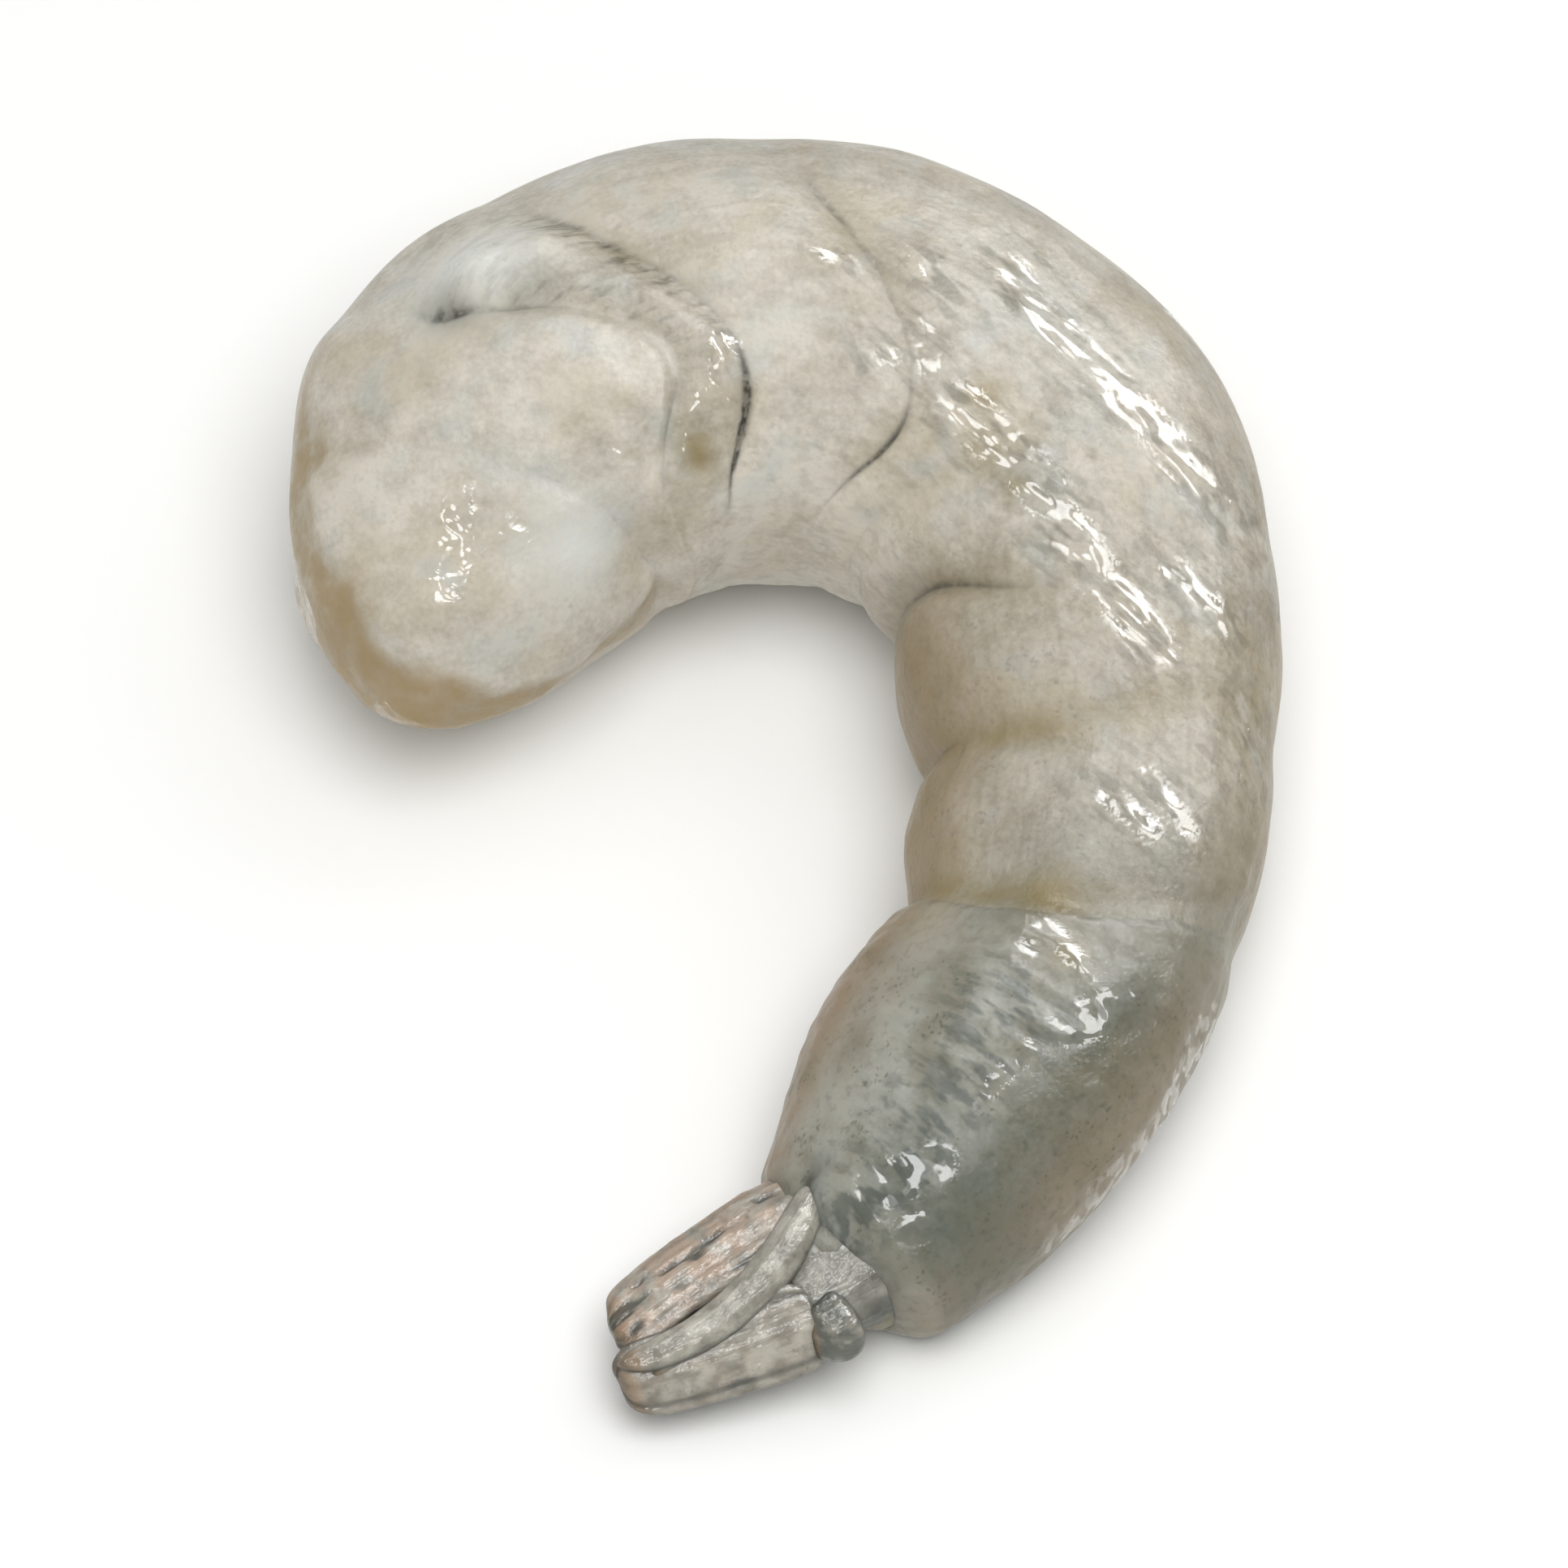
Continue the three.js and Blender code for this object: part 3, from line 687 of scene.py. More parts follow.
def fleshLayers(tree, place, unrolled, fibres, streaks):
    # milky where the muscle is thick and grey-brown where it is thin and clear
    hatch = patternOf(tree, unrolled, (1.3, 0.3, 0.3), cut=(0.44, 0.7))
    # the fine wrinkles and the gaps between the film's glints are darkened: painted shade
    wrinkleShade = patternOf(tree, place, (0.0019, 0.0006, 0.0009), cut=(0.46, 0.74), turn=streakTurn)
    shadeBetweenGlints = addNode(tree, "MapRange", [streaks, 0.45, 0.34], **softStep)
    crinkled = addNode(tree, "Math", [wrinkleShade, shadeBetweenGlints], operation="MAXIMUM")
    strands = addNode(tree, "MapRange", [fibres, 0.48, 0.72], **softStep)
    return [
        (fleshLook["thick"], clouded(tree, "pale", place, fleshLook["clouds"])),
        ("#b9ab8d", patternOf(tree, place, 190, cut=(0.45, 0.75)), 0.4),      # warmer and cooler clouds
        ("#b7bfbf", patternOf(tree, place, 330, cut=(0.5, 0.75)), 0.35),
        ("#d8dad5", "cool"),
        ("#94805f", "brown"),
        ("#777b71", "grey"),
        ("#87806c", strands, 0.2),
        ("#55564e", inkDots(tree, place, 2300, 500), "dots", 0.5),
        # painted shade in the fine wrinkles and between the glints
        ("#666355", crinkled, "crinkleShade", 0.55),
        ("#877644", "olive"),
        ("#9f8b66", "rim", patternOf(tree, place, 600, cut=(0.3, 0.65, 0.4, 0.85))),
        ("#5f5c4a", "scratch", hatch, 0.8),
        # painted shade in the creases
        ("#45433a", "paintedCreaseShade", patternOf(tree, place, 1600, cut=(0.35, 0.6, 0.4, 0.95))),
    ]


def fleshMaterial():
    # raw shrimp muscle under a film of water: cloudy, with fibres along the body and small pigment
    # cells, and bright broken glints where the film is uneven
    material, tree = newMaterial("raw shrimp flesh, wet")
    place = addNode(tree, "TexCoord", (), "Object")
    unrolled = addNode(tree, "Attribute", (), "Vector", attribute_name="unrolled")
    fibres = amountOf(tree, patternOf(tree, unrolled, fibreCell, 1), "fibres")
    streaks = patternOf(tree, place, streakCell, 1, turn=streakTurn)
    ripple = patternOf(tree, place, 560, 1)
    broad = patternOf(tree, place, (0.003, 0.001, 0.0013), 0, turn=streakTurn)
    pebbled = patternOf(tree, place, 950, 0)
    drops = amountOf(tree, addNode(tree, "MapRange", [pebbled, 0.46, 0.53], **softStep), "pebbles")
    broken = addNode(tree, "MapRange", [streaks, 0.44, 0.5], **softStep)
    broken = addNode(tree, "Math", [broken, drops], operation="MAXIMUM")
    film = [amountOf(tree, "wet", broken), fleshLook["leastFilm"]]
    finishOf(tree, {
        "Base Color": painted(tree, fleshLook["thin"], fleshLayers(tree, place, unrolled, fibres, streaks)),
        "Normal": reliefOf(tree, fleshLook["relief"], [
            (patternOf(tree, place, 2600), 0.45),
            (ripple, 0.7),
            (fibres, 0.3),
        ]),
        "Coat Normal": reliefOf(tree, fleshLook["filmRelief"], [
            (ripple, 0.6),
            (broad, "uneven", 2.0),
            (patternOf(tree, place, 4500, 1), "matt", 0.5),
            (pebbled, "pebbles", 1.6),
        ]),
        "Coat Weight": addNode(tree, "Math", film, operation="MAXIMUM"),
        **fleshLook["shader"],
    })
    return material


shellLook = {
    "dark": "#5f665b",
    "light": "#aaaca3",
    "clouds": [(300, 3, 0.6), (1100, 3, 0.5), (3200, 1, 0.4)],
    "leastFilm": 0.2,
    "relief": (0.7, 0.0003),
    "shader": {
        "Subsurface Weight": 0.5,
        "Subsurface Radius": (1.0, 0.85, 0.65),
        "Subsurface Scale": 0.0012,
        "Roughness": 0.36,
        "IOR": 1.4,
        "Specular IOR Level": 0.15,
        "Coat Roughness": 0.05,
        "Coat IOR": 1.42,
    },
}


def shellMaterial():
    # the shell of the last segment: thin clear chitin with grey-green pigment, smooth and wet;
    # at its front edge it is so clear that the flesh's own colour shows
    material, tree = newMaterial("shrimp shell, wet")
    place = addNode(tree, "TexCoord", (), "Object")
    unrolled = addNode(tree, "Attribute", (), "Vector", attribute_name="unrolled")
    fibres = patternOf(tree, unrolled, fibreCell, 1)
    streaks = patternOf(tree, place, streakCell, 1, turn=streakTurn)
    bare = painted(tree, fleshLook["thin"], fleshLayers(tree, place, unrolled, fibres, streaks))
    covered = painted(tree, shellLook["dark"], [
        (shellLook["light"], clouded(tree, "light", place, shellLook["clouds"])),
        ("#94836d", "warm"),
        ("#77705a", patternOf(tree, place, 260, cut=(0.42, 0.66)), 0.5),
        ("#586460", "teal"),
        # painted shade in the hollows between the fine ribs of the wrinkled belt
        ("#454d47", patternOf(tree, unrolled, (0.6, 1.6, 1.6), cut=(0.42, 0.62)), "wrinkleShade", 0.7),
        ("#454a43", inkDots(tree, place, 2500, 520), 0.52),
        ("#86764a", "olive"),
        # painted shade in the creases and in the dent at the hem
        ("#4b4a40", "paintedCreaseShade"),
    ])
    ripple = patternOf(tree, place, 650, 1)
    broad = patternOf(tree, unrolled, (1.0, 1.7, 1.7), 0)
    drops = patternOf(tree, unrolled, (0.7, 1.5, 1.5), 1, (0.46, 0.5))
    film = [amountOf(tree, "wet", drops), shellLook["leastFilm"]]
    mixed = {0: amountOf(tree, "shelled"), 6: bare, 7: covered}
    finishOf(tree, {
        "Base Color": addNode(tree, "Mix", mixed, 2, data_type="RGBA"),
        "Normal": reliefOf(tree, shellLook["relief"], [
            (ripple, 0.8),
            (broad, 0.9),
            (patternOf(tree, place, 2200), 0.1),
        ]),
        "Coat Normal": reliefOf(tree, shellLook["relief"], [
            (ripple, 0.6),
            (broad, 0.7),
            (patternOf(tree, place, 4500, 1), "matt", 0.5),
        ]),
        "Coat Weight": addNode(tree, "Math", film, operation="MAXIMUM"),
        **shellLook["shader"],
    })
    return material


fanLook = {
    "dark": "#8a867b",
    "light": "#bab6aa",
    "relief": (0.8, 0.0003),
    "shader": {
        "Subsurface Weight": 0.4,
        "Subsurface Radius": (1.0, 0.8, 0.6),
        "Subsurface Scale": 0.0012,
        "Roughness": 0.4,
        "IOR": 1.45,
        "Specular IOR Level": 0.3,
        "Coat Weight": 0.4,
        "Coat Roughness": 0.1,
        "Coat IOR": 1.5,
    },
}


def fanMaterial():
    # the blades of the tail fan: thin chitin, grey-brown with pinkish flesh colours and dark borders, and
    # painted shade in their creases and margin grooves
    material, tree = newMaterial("tail fan chitin, wet")
    place = addNode(tree, "TexCoord", (), "Object")
    unrolled = addNode(tree, "Attribute", (), "Vector", attribute_name="unrolled")
    streak = patternOf(tree, unrolled, (2.2, 0.4, 0.4))
    relief = reliefOf(tree, fanLook["relief"], [
        (patternOf(tree, place, 1200, 3), 0.8),
        (streak, -0.5),
    ])
    finishOf(tree, {
        "Base Color": painted(tree, fanLook["dark"], [
            (fanLook["light"], patternOf(tree, place, 800, 3, (0.3, 0.7))),
            ("#b8a08c", "pink", patternOf(tree, place, 900, cut=(0.3, 0.6)), 0.75),
            ("#545a52", "dark", patternOf(tree, place, 1300, cut=(0.3, 0.6, 0.4, 0.9))),
            ("#6a6257", addNode(tree, "MapRange", [streak, 0.52, 0.7], **softStep), 0.3),
            ("#57534a", inkDots(tree, place, 2800, 700), 0.45),
            ("#8a6a45", "rust"),
            # dark borders, and painted shade in the creases and margin grooves
            ("#3a3e37", "edge"),
        ]),
        "Normal": relief,
        "Coat Normal": relief,
        **fanLook["shader"],
    })
    return material


# the flesh

fleshMesh = {"rowsPerZone": 46, "crowding": 0.11, "around": 224, "headRings": 40, "tailRings": 6}

# Where the film of water lies thick and throws glints, beside matt flesh: paths in the frame's plan and
# how wide they are.
wetPaths = [
    ([(-17.3, 6.4), (-16.6, 10.0)], 1.1),
    ([(-14.2, 9.2), (-13.6, 8.8)], 0.5),
    ([(-8.6, 12.4), (-6.6, 10.7)], 0.5),
    ([(-3.1, 18.4), (-3.0, 16.4)], 0.9),
    ([(-4.4, 16.0), (-5.0, 12.9)], 0.35),
    ([(5.0, 18.0), (5.5, 18.0)], 0.5),
    ([(7.2, 19.4), (7.5, 17.4)], 0.6),
    ([(7.6, 22.9), (8.1, 22.2)], 0.5),
    ([(1.8, 23.7), (3.6, 23.1)], 0.35),
    ([(11.9, 23.6), (12.1, 21.6)], 0.9),
    ([(13.4, 20.8), (14.3, 19.8), (17.0, 16.7), (19.3, 14.3), (20.8, 12.3), (22.6, 10.8)], 1.1),
    ([(9.0, 15.4), (12.4, 12.0), (14.9, 7.7), (17.0, 5.0), (18.8, 2.6)], 1.2),
    ([(20.1, 6.7), (22.0, 4.5)], 0.9),
    ([(16.5, -6.2), (18.5, -7.7)], 0.7),
    ([(18.5, -4.7), (20.5, -7.2)], 0.6),
    ([(22.7, -3.8), (23.4, 0.8)], 0.4),
    ([(14.3, -18.6), (17.9, -16.7)], 1.0),
    ([(12.1, -14.8), (13.4, -13.5), (15.2, -15.7)], 0.6),
    ([(10.0, -22.2), (13.1, -19.2)], 0.5),
    ([(3.7, -28.3), (4.5, -26.1), (7.7, -25.1)], 1.0),
    ([(6.2, -27.9), (9.2, -27.2)], 0.7),
]
wetEdge = {
    "softness": (0.1, 0.5),
    "beside": 1.5,           # how much wider the crinkled skin beside a path is
    "leastUneven": 0.3,
    # loose patches on the back: strength, noise cell and seed, where the noise is none and full, and round
    "patches": {"strength": 0.8, "cell": 5.0, "seed": 41, "cut": (0.3, 0.6), "round": (36, 16)},
}
# greenish brown pigment spots: centre along the spine and round the body, size, strength
oliveSpots = [
    ((34.2, 99), (0.9, 5), 0.6),
    ((40.5, 105), (1.1, 4), 0.5),
    ((12.0, 136), (2.0, 8), 0.8),
    ((24.6, 96), (1.6, 6), 0.3),
    ((37.6, 112), (1.4, 5), 0.35),
    ((64.2, 90), (1.5, 9), 0.6),
    ((66.8, 78), (1.2, 7), 0.5),
    ((22.5, 88), (1.5, 6), 0.25),
]
fleshZones = {
    "strip": [("pastCollar", 0.0, 0.8), ("pastFirst", 0.4, -0.4), ("round", 50, 66)],
    "scratched": [("pastFirst", 0.5, -0.1), ("pastFirst", -1.9, -0.7), ("near", 78, 28)],
    "hairs": [("pastCollar", 0.0, 0.5), ("pastCollar", 2.8, 1.0), ("near", 90, 22)],
    "onBack": [("round", 64, 4), ("s", 4, 24)],
    "onRearBack": [("round", 64, 4), ("s", 4, 24), ("s", 20, 45)],
    "onTailBack": [("s", 56, 64), ("round", 76, 46)],
    "nearBelly": [("round", 122, 160), ("pastCollar", 0, 4), ("s", 46, 30)],
    "onRearBelly": [("round", 108, 158), ("s", 36, 50)],
    "onTailFlank": [("s", 54, 66), ("round", 140, 80)],
    "thinning": [("s", 16, 60)],
    "dotted": [("s", 22, 60)],
    "greyRear": [("s", 40, 50)],
    "brownRear": [("s", 40, 52)],
    "fibrous": [("pastCollar", -1, 3)],
    "uneven": [("s", 18, 28)],
    "crinkled": [("s", 18, 26)],
    "pebbled": [("s", 22, 18)],
    "rimmed": [("pastCollar", 1, -4)],
}
# patches: centre, size; on the rounded end, a place of the unrolled body in mm and a radius
fleshPatches = {
    # the tongue is paler and cooler, partly its whiter muscle and partly painted light on its top; under
    # and beside it, painted shade
    "tongue": ((7.5, 64), (2.3, 12)),
    "shadeUnderTongue": ((5.6, 68), (0.9, 9)),
    "shadeBesideTongue": ((8.6, 80), (1.5, 6)),
    # painted shade in the dent at the end of the shell
    "hemNickShade": ((82.5, 116), (0.6, 4)),
}
# bluish-white patches on the rounded end; the one on top is partly painted light where the lobe slopes away
# from the light
endPatches = {"lobeTop": ((-2.0, -4.9, 6.6), 2.8), "lobeFront": ((-9.0, 2.2, 0.8), 2.0)}
rimColour = {"lowest": 0.15, "uneven": (0.25, 3.0, 33), "raised": (-0.35, 0.2), "front": (0.3, 0.8)}
mostOlive = 0.8
# what each mask is made up of: shares of the zones, patches and lines
fleshMix = {
    # painted shade in the creases and in the dent at the shell's hem
    "paintedCreaseShade": {"creaseShade": 1, "hemNickShade": 0.9},
    "scratch": {"scratched": 1, "hairs": 0.6},
    # pale: the back is darker, partly its pigment and partly painted shade towards its edge; near the belly
    # it is paler, painted light on the shaded inner curve; the tongue's share is partly painted light
    "pale": {
        "everywhere": 0.8, "thinning": -0.22, "onBack": -0.45,
        "tongue": 0.6, "strip": -0.22, "nearBelly": 0.3,
    },
    "olive": {"spots": 1, "bands": 0.9},
    "dots": {"everywhere": 0.15, "dotted": 0.55, "strip": 0.15, "onRearBack": 0.25},
    # grey: the tail flank's own grey, and painted shade under and beside the tongue
    "grey": {"onTailFlank": 0.5, "greyRear": 0.1, "shadeUnderTongue": 0.5, "shadeBesideTongue": 0.3},
    # cool: bluish-white, partly painted light on the lobe's top and on the tongue
    "cool": {"lobeTop": 0.9, "lobeFront": 0.4, "tongue": 0.9},
    "rim": {"rim": 1},
    # brown: on the rear belly partly the flesh's own brown and partly painted shade in the inner curve; on
    # the back, partly painted shade
    "brown": {"onRearBelly": 0.75, "brownRear": 0.15, "onTailBack": 0.3, "rimFront": 0.55, "onBack": 0.12},
    "wet": {"wet": 1},
    "matt": {"everywhere": 1, "wet": -1},
    "fibres": {"fibrous": 1},
    "uneven": {"unevenFilm": 1},
    "crinkleShade": {"besidePaths": 1},
    "pebbles": {"pebbledFilm": 1},
}


def endTaper(s):
    # the end of the last segment draws in round the roots of the tail fan
    start = spine["length"] - shell["shoulderWidth"]
    return 1 - shell["shoulder"] * np.clip((s - start) / shell["shoulderWidth"], 0, 1.2) ** 2


def fleshGrid():
    # rows follow the lines between the segments, closer together near them
    zones = len(lines) + 1
    u = np.linspace(0, zones, zones * fleshMesh["rowsPerZone"] + 1)
    zone = np.minimum(u.astype(int), zones - 1)
    share = u - zone
    share = share - fleshMesh["crowding"] * np.sin(2 * np.pi * share)
    angle = np.arange(fleshMesh["around"]) * 2 * np.pi / fleshMesh["around"]
    side = sideOf(angle)
    places = np.array([0 * side] + [lineAt(name, side) for name in lines] + [0 * side + spine["length"]])
    s = places[zone] + (places[zone + 1] - places[zone]) * share[:, None]
    q = np.linspace(0, np.pi / 2, fleshMesh["headRings"] + 1)[:-1]
    r = np.linspace(0, np.pi / 2, fleshMesh["tailRings"] + 1)[1:]
    s = np.concatenate([np.zeros((len(q), len(angle))), s, np.full((len(r), len(angle)), spine["length"])])
    first, second, third = body["domeShape"]
    cap = (1 - np.cos(q) ** first) ** second * (1 - third * np.cos(q))
    taper = endTaper(s[len(q):-len(r), :1])[:, 0]
    ring = np.concatenate([cap, taper, taper[-1] * np.cos(r)])[:, None]
    dome = np.concatenate([-np.cos(q), np.zeros(len(u)), np.sin(r)])[:, None]
    return s, np.broadcast_to(angle, s.shape), ring, dome


def lineMasks(s, angle, at):
    # the dark threads of painted shade in the creases and their gapes, and the soft brown bands beside them
    side = sideOf(angle)
    creaseShade = np.zeros(s.shape)
    bands = np.zeros(s.shape)
    stray = strayAt(at)
    strength, cell, seed = thread["bandUneven"]
    patchy = thread["bandMean"] + strength * valueNoise(at, cell, seed)
    for name, line in lines.items():
        gap = s - lineAt(name, side) - stray
        crease = strengthAt(line["creases"], side)
        core = thread["core"] * np.exp(-(gap / (thread["width"] + line["widening"] * crease)) ** 2)
        creaseShade += crease * (core + (1 - thread["core"]) * np.exp(-(gap / thread["shadeWidth"]) ** 2))
        creaseShade += strengthAt(line["gapes"], side) * np.exp(-(gap / thread["gapeWidth"]) ** 2)
        bands += strengthAt(line["bands"], side) * np.exp(-(gap / thread["bandWidth"]) ** 2) * patchy
    return np.clip(creaseShade, 0, 1), np.clip(bands, 0, 1)


def wetMasks(points, at, degrees):
    # 1 on the paths and softly less beside them, with loose patches on the back; and a wider one
    plan = (points + frameShift)[..., :2]
    patches = wetEdge["patches"]
    wet = smooth(valueNoise(at, patches["cell"], patches["seed"]), *patches["cut"])
    wet = patches["strength"] * wet * smooth(degrees, *patches["round"])
    beside = np.zeros(plan.shape[:-1])
    for path, width in wetPaths:
        corners = np.array(path)
        for start, end in zip(corners[:-1], corners[1:]):
            step = end - start
            t = np.clip(((plan - start) @ step) / (step @ step), 0, 1)
            gap = np.linalg.norm(plan - start - t[..., None] * step, axis=-1)
            wet = np.maximum(wet, np.exp(-(gap / width) ** 2))
            beside = np.maximum(beside, np.exp(-(gap / (wetEdge["beside"] + width)) ** 2))
    return smooth(wet, *wetEdge["softness"]), beside


def clippedMix(mix, amounts, shape):
    masks = {name: np.broadcast_to(mixOf(shares, amounts), shape) for name, shares in mix.items()}
    return {name: np.clip(values, 0, 1) for name, values in masks.items()}


def fleshMasks(s, angle, ring, dome, points):
    degrees = np.degrees(sideOf(angle))
    at = straightened(s, angle, ring, dome * domeReach(angle, ring, dome))
    amounts = amountsOf(fleshZones, measuresAt(s, angle))
    for name, (centre, size) in fleshPatches.items():
        amounts[name] = spotsAt([(centre, size, 1)], s, degrees)
    for name, (centre, size) in endPatches.items():
        amounts[name] = np.exp(-(((at - np.array(centre)) / size) ** 2).sum(axis=-1))
    strength, cell, seed = rimColour["uneven"]
    raised = raisedAt(angle, ring, dome) + strength * valueNoise(at, cell, seed)
    faded = rimColour["lowest"] + (1 - rimColour["lowest"]) * smooth(raised, *rimColour["raised"])
    wet, beside = wetMasks(points, at, degrees)
    amounts["creaseShade"], amounts["bands"] = lineMasks(s, angle, at)
    amounts["spots"] = np.clip(spotsAt(oliveSpots, s, degrees), 0, mostOlive)
    amounts["rim"] = rimOf(s, angle, ring, dome) * amounts["rimmed"] * faded
    amounts["rimFront"] = amounts["rim"] * smooth(-dome, *rimColour["front"])
    amounts["wet"] = wet
    least = wetEdge["leastUneven"]
    amounts["unevenFilm"] = np.maximum(wet, least + (1 - least) * amounts["uneven"])
    amounts["besidePaths"] = beside * amounts["crinkled"]
    amounts["pebbledFilm"] = wet * amounts["pebbled"]
    return {**clippedMix(fleshMix, amounts, s.shape), "unrolled": at}


def makeFlesh(material):
    s, angle, ring, dome = fleshGrid()
    pastLine = s - lineAt("sixth", sideOf(angle))
    underShell = -shell["flesh"] * smooth(pastLine, *shell["fleshReach"])
    points = bodyPoints(s, angle, ring, dome, extra=underShell)
    vertices, quads, triangles = withPoles(points)
    masks = fleshMasks(s, angle, ring, dome, points)
    masks = {key: gatherPoles(values, *s.shape) for key, values in masks.items()}
    makePiece("flesh", vertices, quads, triangles, masks, material)


# the shell of the last segment

shellMesh = {"rows": 120, "around": 200}
shellZones = {
    "onUpperFlank": [("round", 112, 72)],
    "onTop": [("round", 76, 50)],
    "onBack": [("round", 56, 16)],
    "onBelly": [("round", 126, 152)],
    "onLowerFront": [("round", 104, 128), ("s", 84, 74)],
    "onHem": [("pastEnd", -1.8, -0.8)],
    "tealFlank": [("s", 74, 80), ("round", 104, 84)],
    "tealHem": [("s", 74, 80), ("round", 104, 84), ("pastEnd", -1.8, -0.8)],
    "wrinkled": [("near", 84, 18), ("s", 65, 70)],
}
# painted shade: a dark teal patch by the dent at the end of the shell
hemShade = ((82.6, 112), (1.6, 9), 1)
hemLine = {"beforeEnd": 1.9, "width": 0.3}
clearEdge = 6    # mm over which the shell turns from clear to its own colour
shellMix = {
    "light": {"everywhere": 1.02, "onUpperFlank": -0.42, "onTop": -0.48, "onHem": 0.8},
    "warm": {"everywhere": 0.15, "onBelly": 0.6, "hemLine": 0.2, "onBack": 0.5, "onLowerFront": 0.3},
    # teal: the lower flank's own colour, less at the hem, and painted shade by the dent at the hem
    "teal": {"tealFlank": 0.36, "tealHem": -0.252, "hemShade": 0.5},
    "wrinkleShade": {"wrinkled": 1},
    "shelled": {"pastEdge": 1},
}


def makeShell(material):
    # a sleeve over the last segment: out over its outer face and back along its inner face
    around = np.arange(shellMesh["around"]) * 2 * np.pi / shellMesh["around"]
    strength, cell, seed = shell["edgeStray"]
    stray = strength * valueNoise(straightened(60, around), cell, seed)
    start = lineAt("sixth", sideOf(around)) + shell["edge"] + stray
    t = np.linspace(0, 1, shellMesh["rows"])[:, None]
    outer = start + (spine["length"] + shell["overhang"] - start) * t
    s = np.concatenate([outer, outer[::-1]])
    angle = np.broadcast_to(around, s.shape)
    wall = np.sqrt(np.clip(1 - (2 * t - 1) ** shell["bluntness"], 0, 1)) * shell["thickness"] / 2
    thinned = shell["edgeShare"] + (1 - shell["edgeShare"]) * smooth(s - start, 0, shell["edgeReach"])
    wall = np.concatenate([wall, -wall]) * thinned
    points = bodyPoints(s, angle, ring=endTaper(s), extra=wall - shell["inset"])
    measures = measuresAt(s, angle)
    amounts = amountsOf(shellZones, measures)
    amounts["hemShade"] = spotsAt([hemShade], s, measures["round"])
    amounts["hemLine"] = np.exp(-((measures["pastEnd"] + hemLine["beforeEnd"]) / hemLine["width"]) ** 2)
    amounts["pastEdge"] = smooth(s - start, 0, clearEdge)
    masks = fleshMasks(s, angle, np.ones(s.shape), np.zeros(s.shape), points)
    masks.update(clippedMix(shellMix, amounts, s.shape))
    masks = {key: values.reshape(s.size, -1).squeeze() for key, values in masks.items()}
    quads = gridFaces(len(s), s.shape[1], 0, wrapRows=True)
    noTriangles = np.zeros((0, 3), int)
    makePiece("tailShell", points.reshape(-1, 3), quads, noTriangles, masks, material)


# the tail fan

fan = {
    "rows": 70,
    "around": 72,
    "turn": 14,
    "tipThinning": 0.3,
    "flatness": 0.65,
    "sideRoundness": 0.85,
    "bendRoundness": 0.8,
    "rib": (0.22, 0.35),     # height as a share of the thickness, and width
    "margin": (0.16, 0.72, 0.09),      # a shallow groove just inside each blade's edge: depth, place, width
    "crease": {"depth": 0.2, "least": 0.15, "cell": (1.5, 0.55, 0.55), "seed": 80, "cut": (0.3, 0.6)},
    # roughness: height everywhere, more where pink and where dark, cell and seed
    "rough": [
        (0.05, 0.08, 0.0, (2.5, 0.9, 0.9), 20),
        (0.0, 0.1, 0.0, (0.7, 0.45, 0.45), 100),
        (0.0, 0.0, 0.3, (1.3, 0.9, 0.9), 120),
    ],
    "tip": {"ragged": 0.25, "cell": 1.1, "seed": 60, "slant": 0.1, "from": 0.7},
    # dark edges: the margin and crease terms are painted shade in the grooves and creases; the side and end
    # terms darken the borders
    "darkEdge": {
        "margin": 0.6, "side": 0.75, "narrowness": 9, "crease": 0.7, "ends": 0.5, "from": 0.9, "most": 0.95,
    },
    "rust": (0.6, 0.9, 0.97),
    "floorBlend": 0.3,
    # root and tip along, across and above the tail's axis, width, thickness, roll, bend, roundness,
    # taper, then how far it is lined, pink and dark
    "blades": {
        "fanRoot": ((-4.0, -0.4, 4.3), (3.4, -0.2, 4.1), 9.2, 7.2, 0, 0, 6, 0.2, 0.2, 0, 0.5),
        "telson": ((-2.2, 1.6, 3.6), (11.6, 0.2, 2.6), 5.6, 2.6, 80, 0, 12, 0.25, 0.5, 0.1, 0.3),
        "upperSideBlade": ((2.2, 2.2, 4.5), (12.6, -0.6, 3.2), 5.2, 2.2, 40, 0.3, 9, 0.2, 1, 0.15, 0),
        "upperInnerBlade": ((-0.9, -2.9, 6.7), (12.2, -1.1, 4.3), 2.9, 3.4, 5, 1.9, 7, 0.45, 0, 0, 0),
        "upperOuterBlade": ((-2.2, -2.6, 5.4), (11.6, -2.9, 3.9), 5.1, 2.9, -12, -0.5, 12, 0.2, 0.6, 1, 0),
        "lowerSideBlade": ((-0.2, 0.3, 2.5), (12.0, -0.6, 1.8), 5.6, 2.2, -20, 0, 12, 0.2, 1, 0.2, 0.1),
        "lowerOuterBlade": ((-1.8, -3.6, 2.4), (11.2, -2.4, 1.8), 5.4, 2.2, 14, 0, 12, 0.2, 1, 0.6, 0),
        # fills the gap between the fan's roots; its dark share is painted shade in that gap
        "shadedMiddleFold": ((0.2, 1, 4.9), (3.8, 1.3, 4.8), 2.8, 2.6, 20, 0, 3, 0.1, 0, 0, 0.7),
        "knob": ((0.9, 3.4, 4.7), (3.5, 3.2, 4.6), 3.7, 3.2, 45, 0, 2.5, 0.1, 0, 0.1, 1),
    },
}


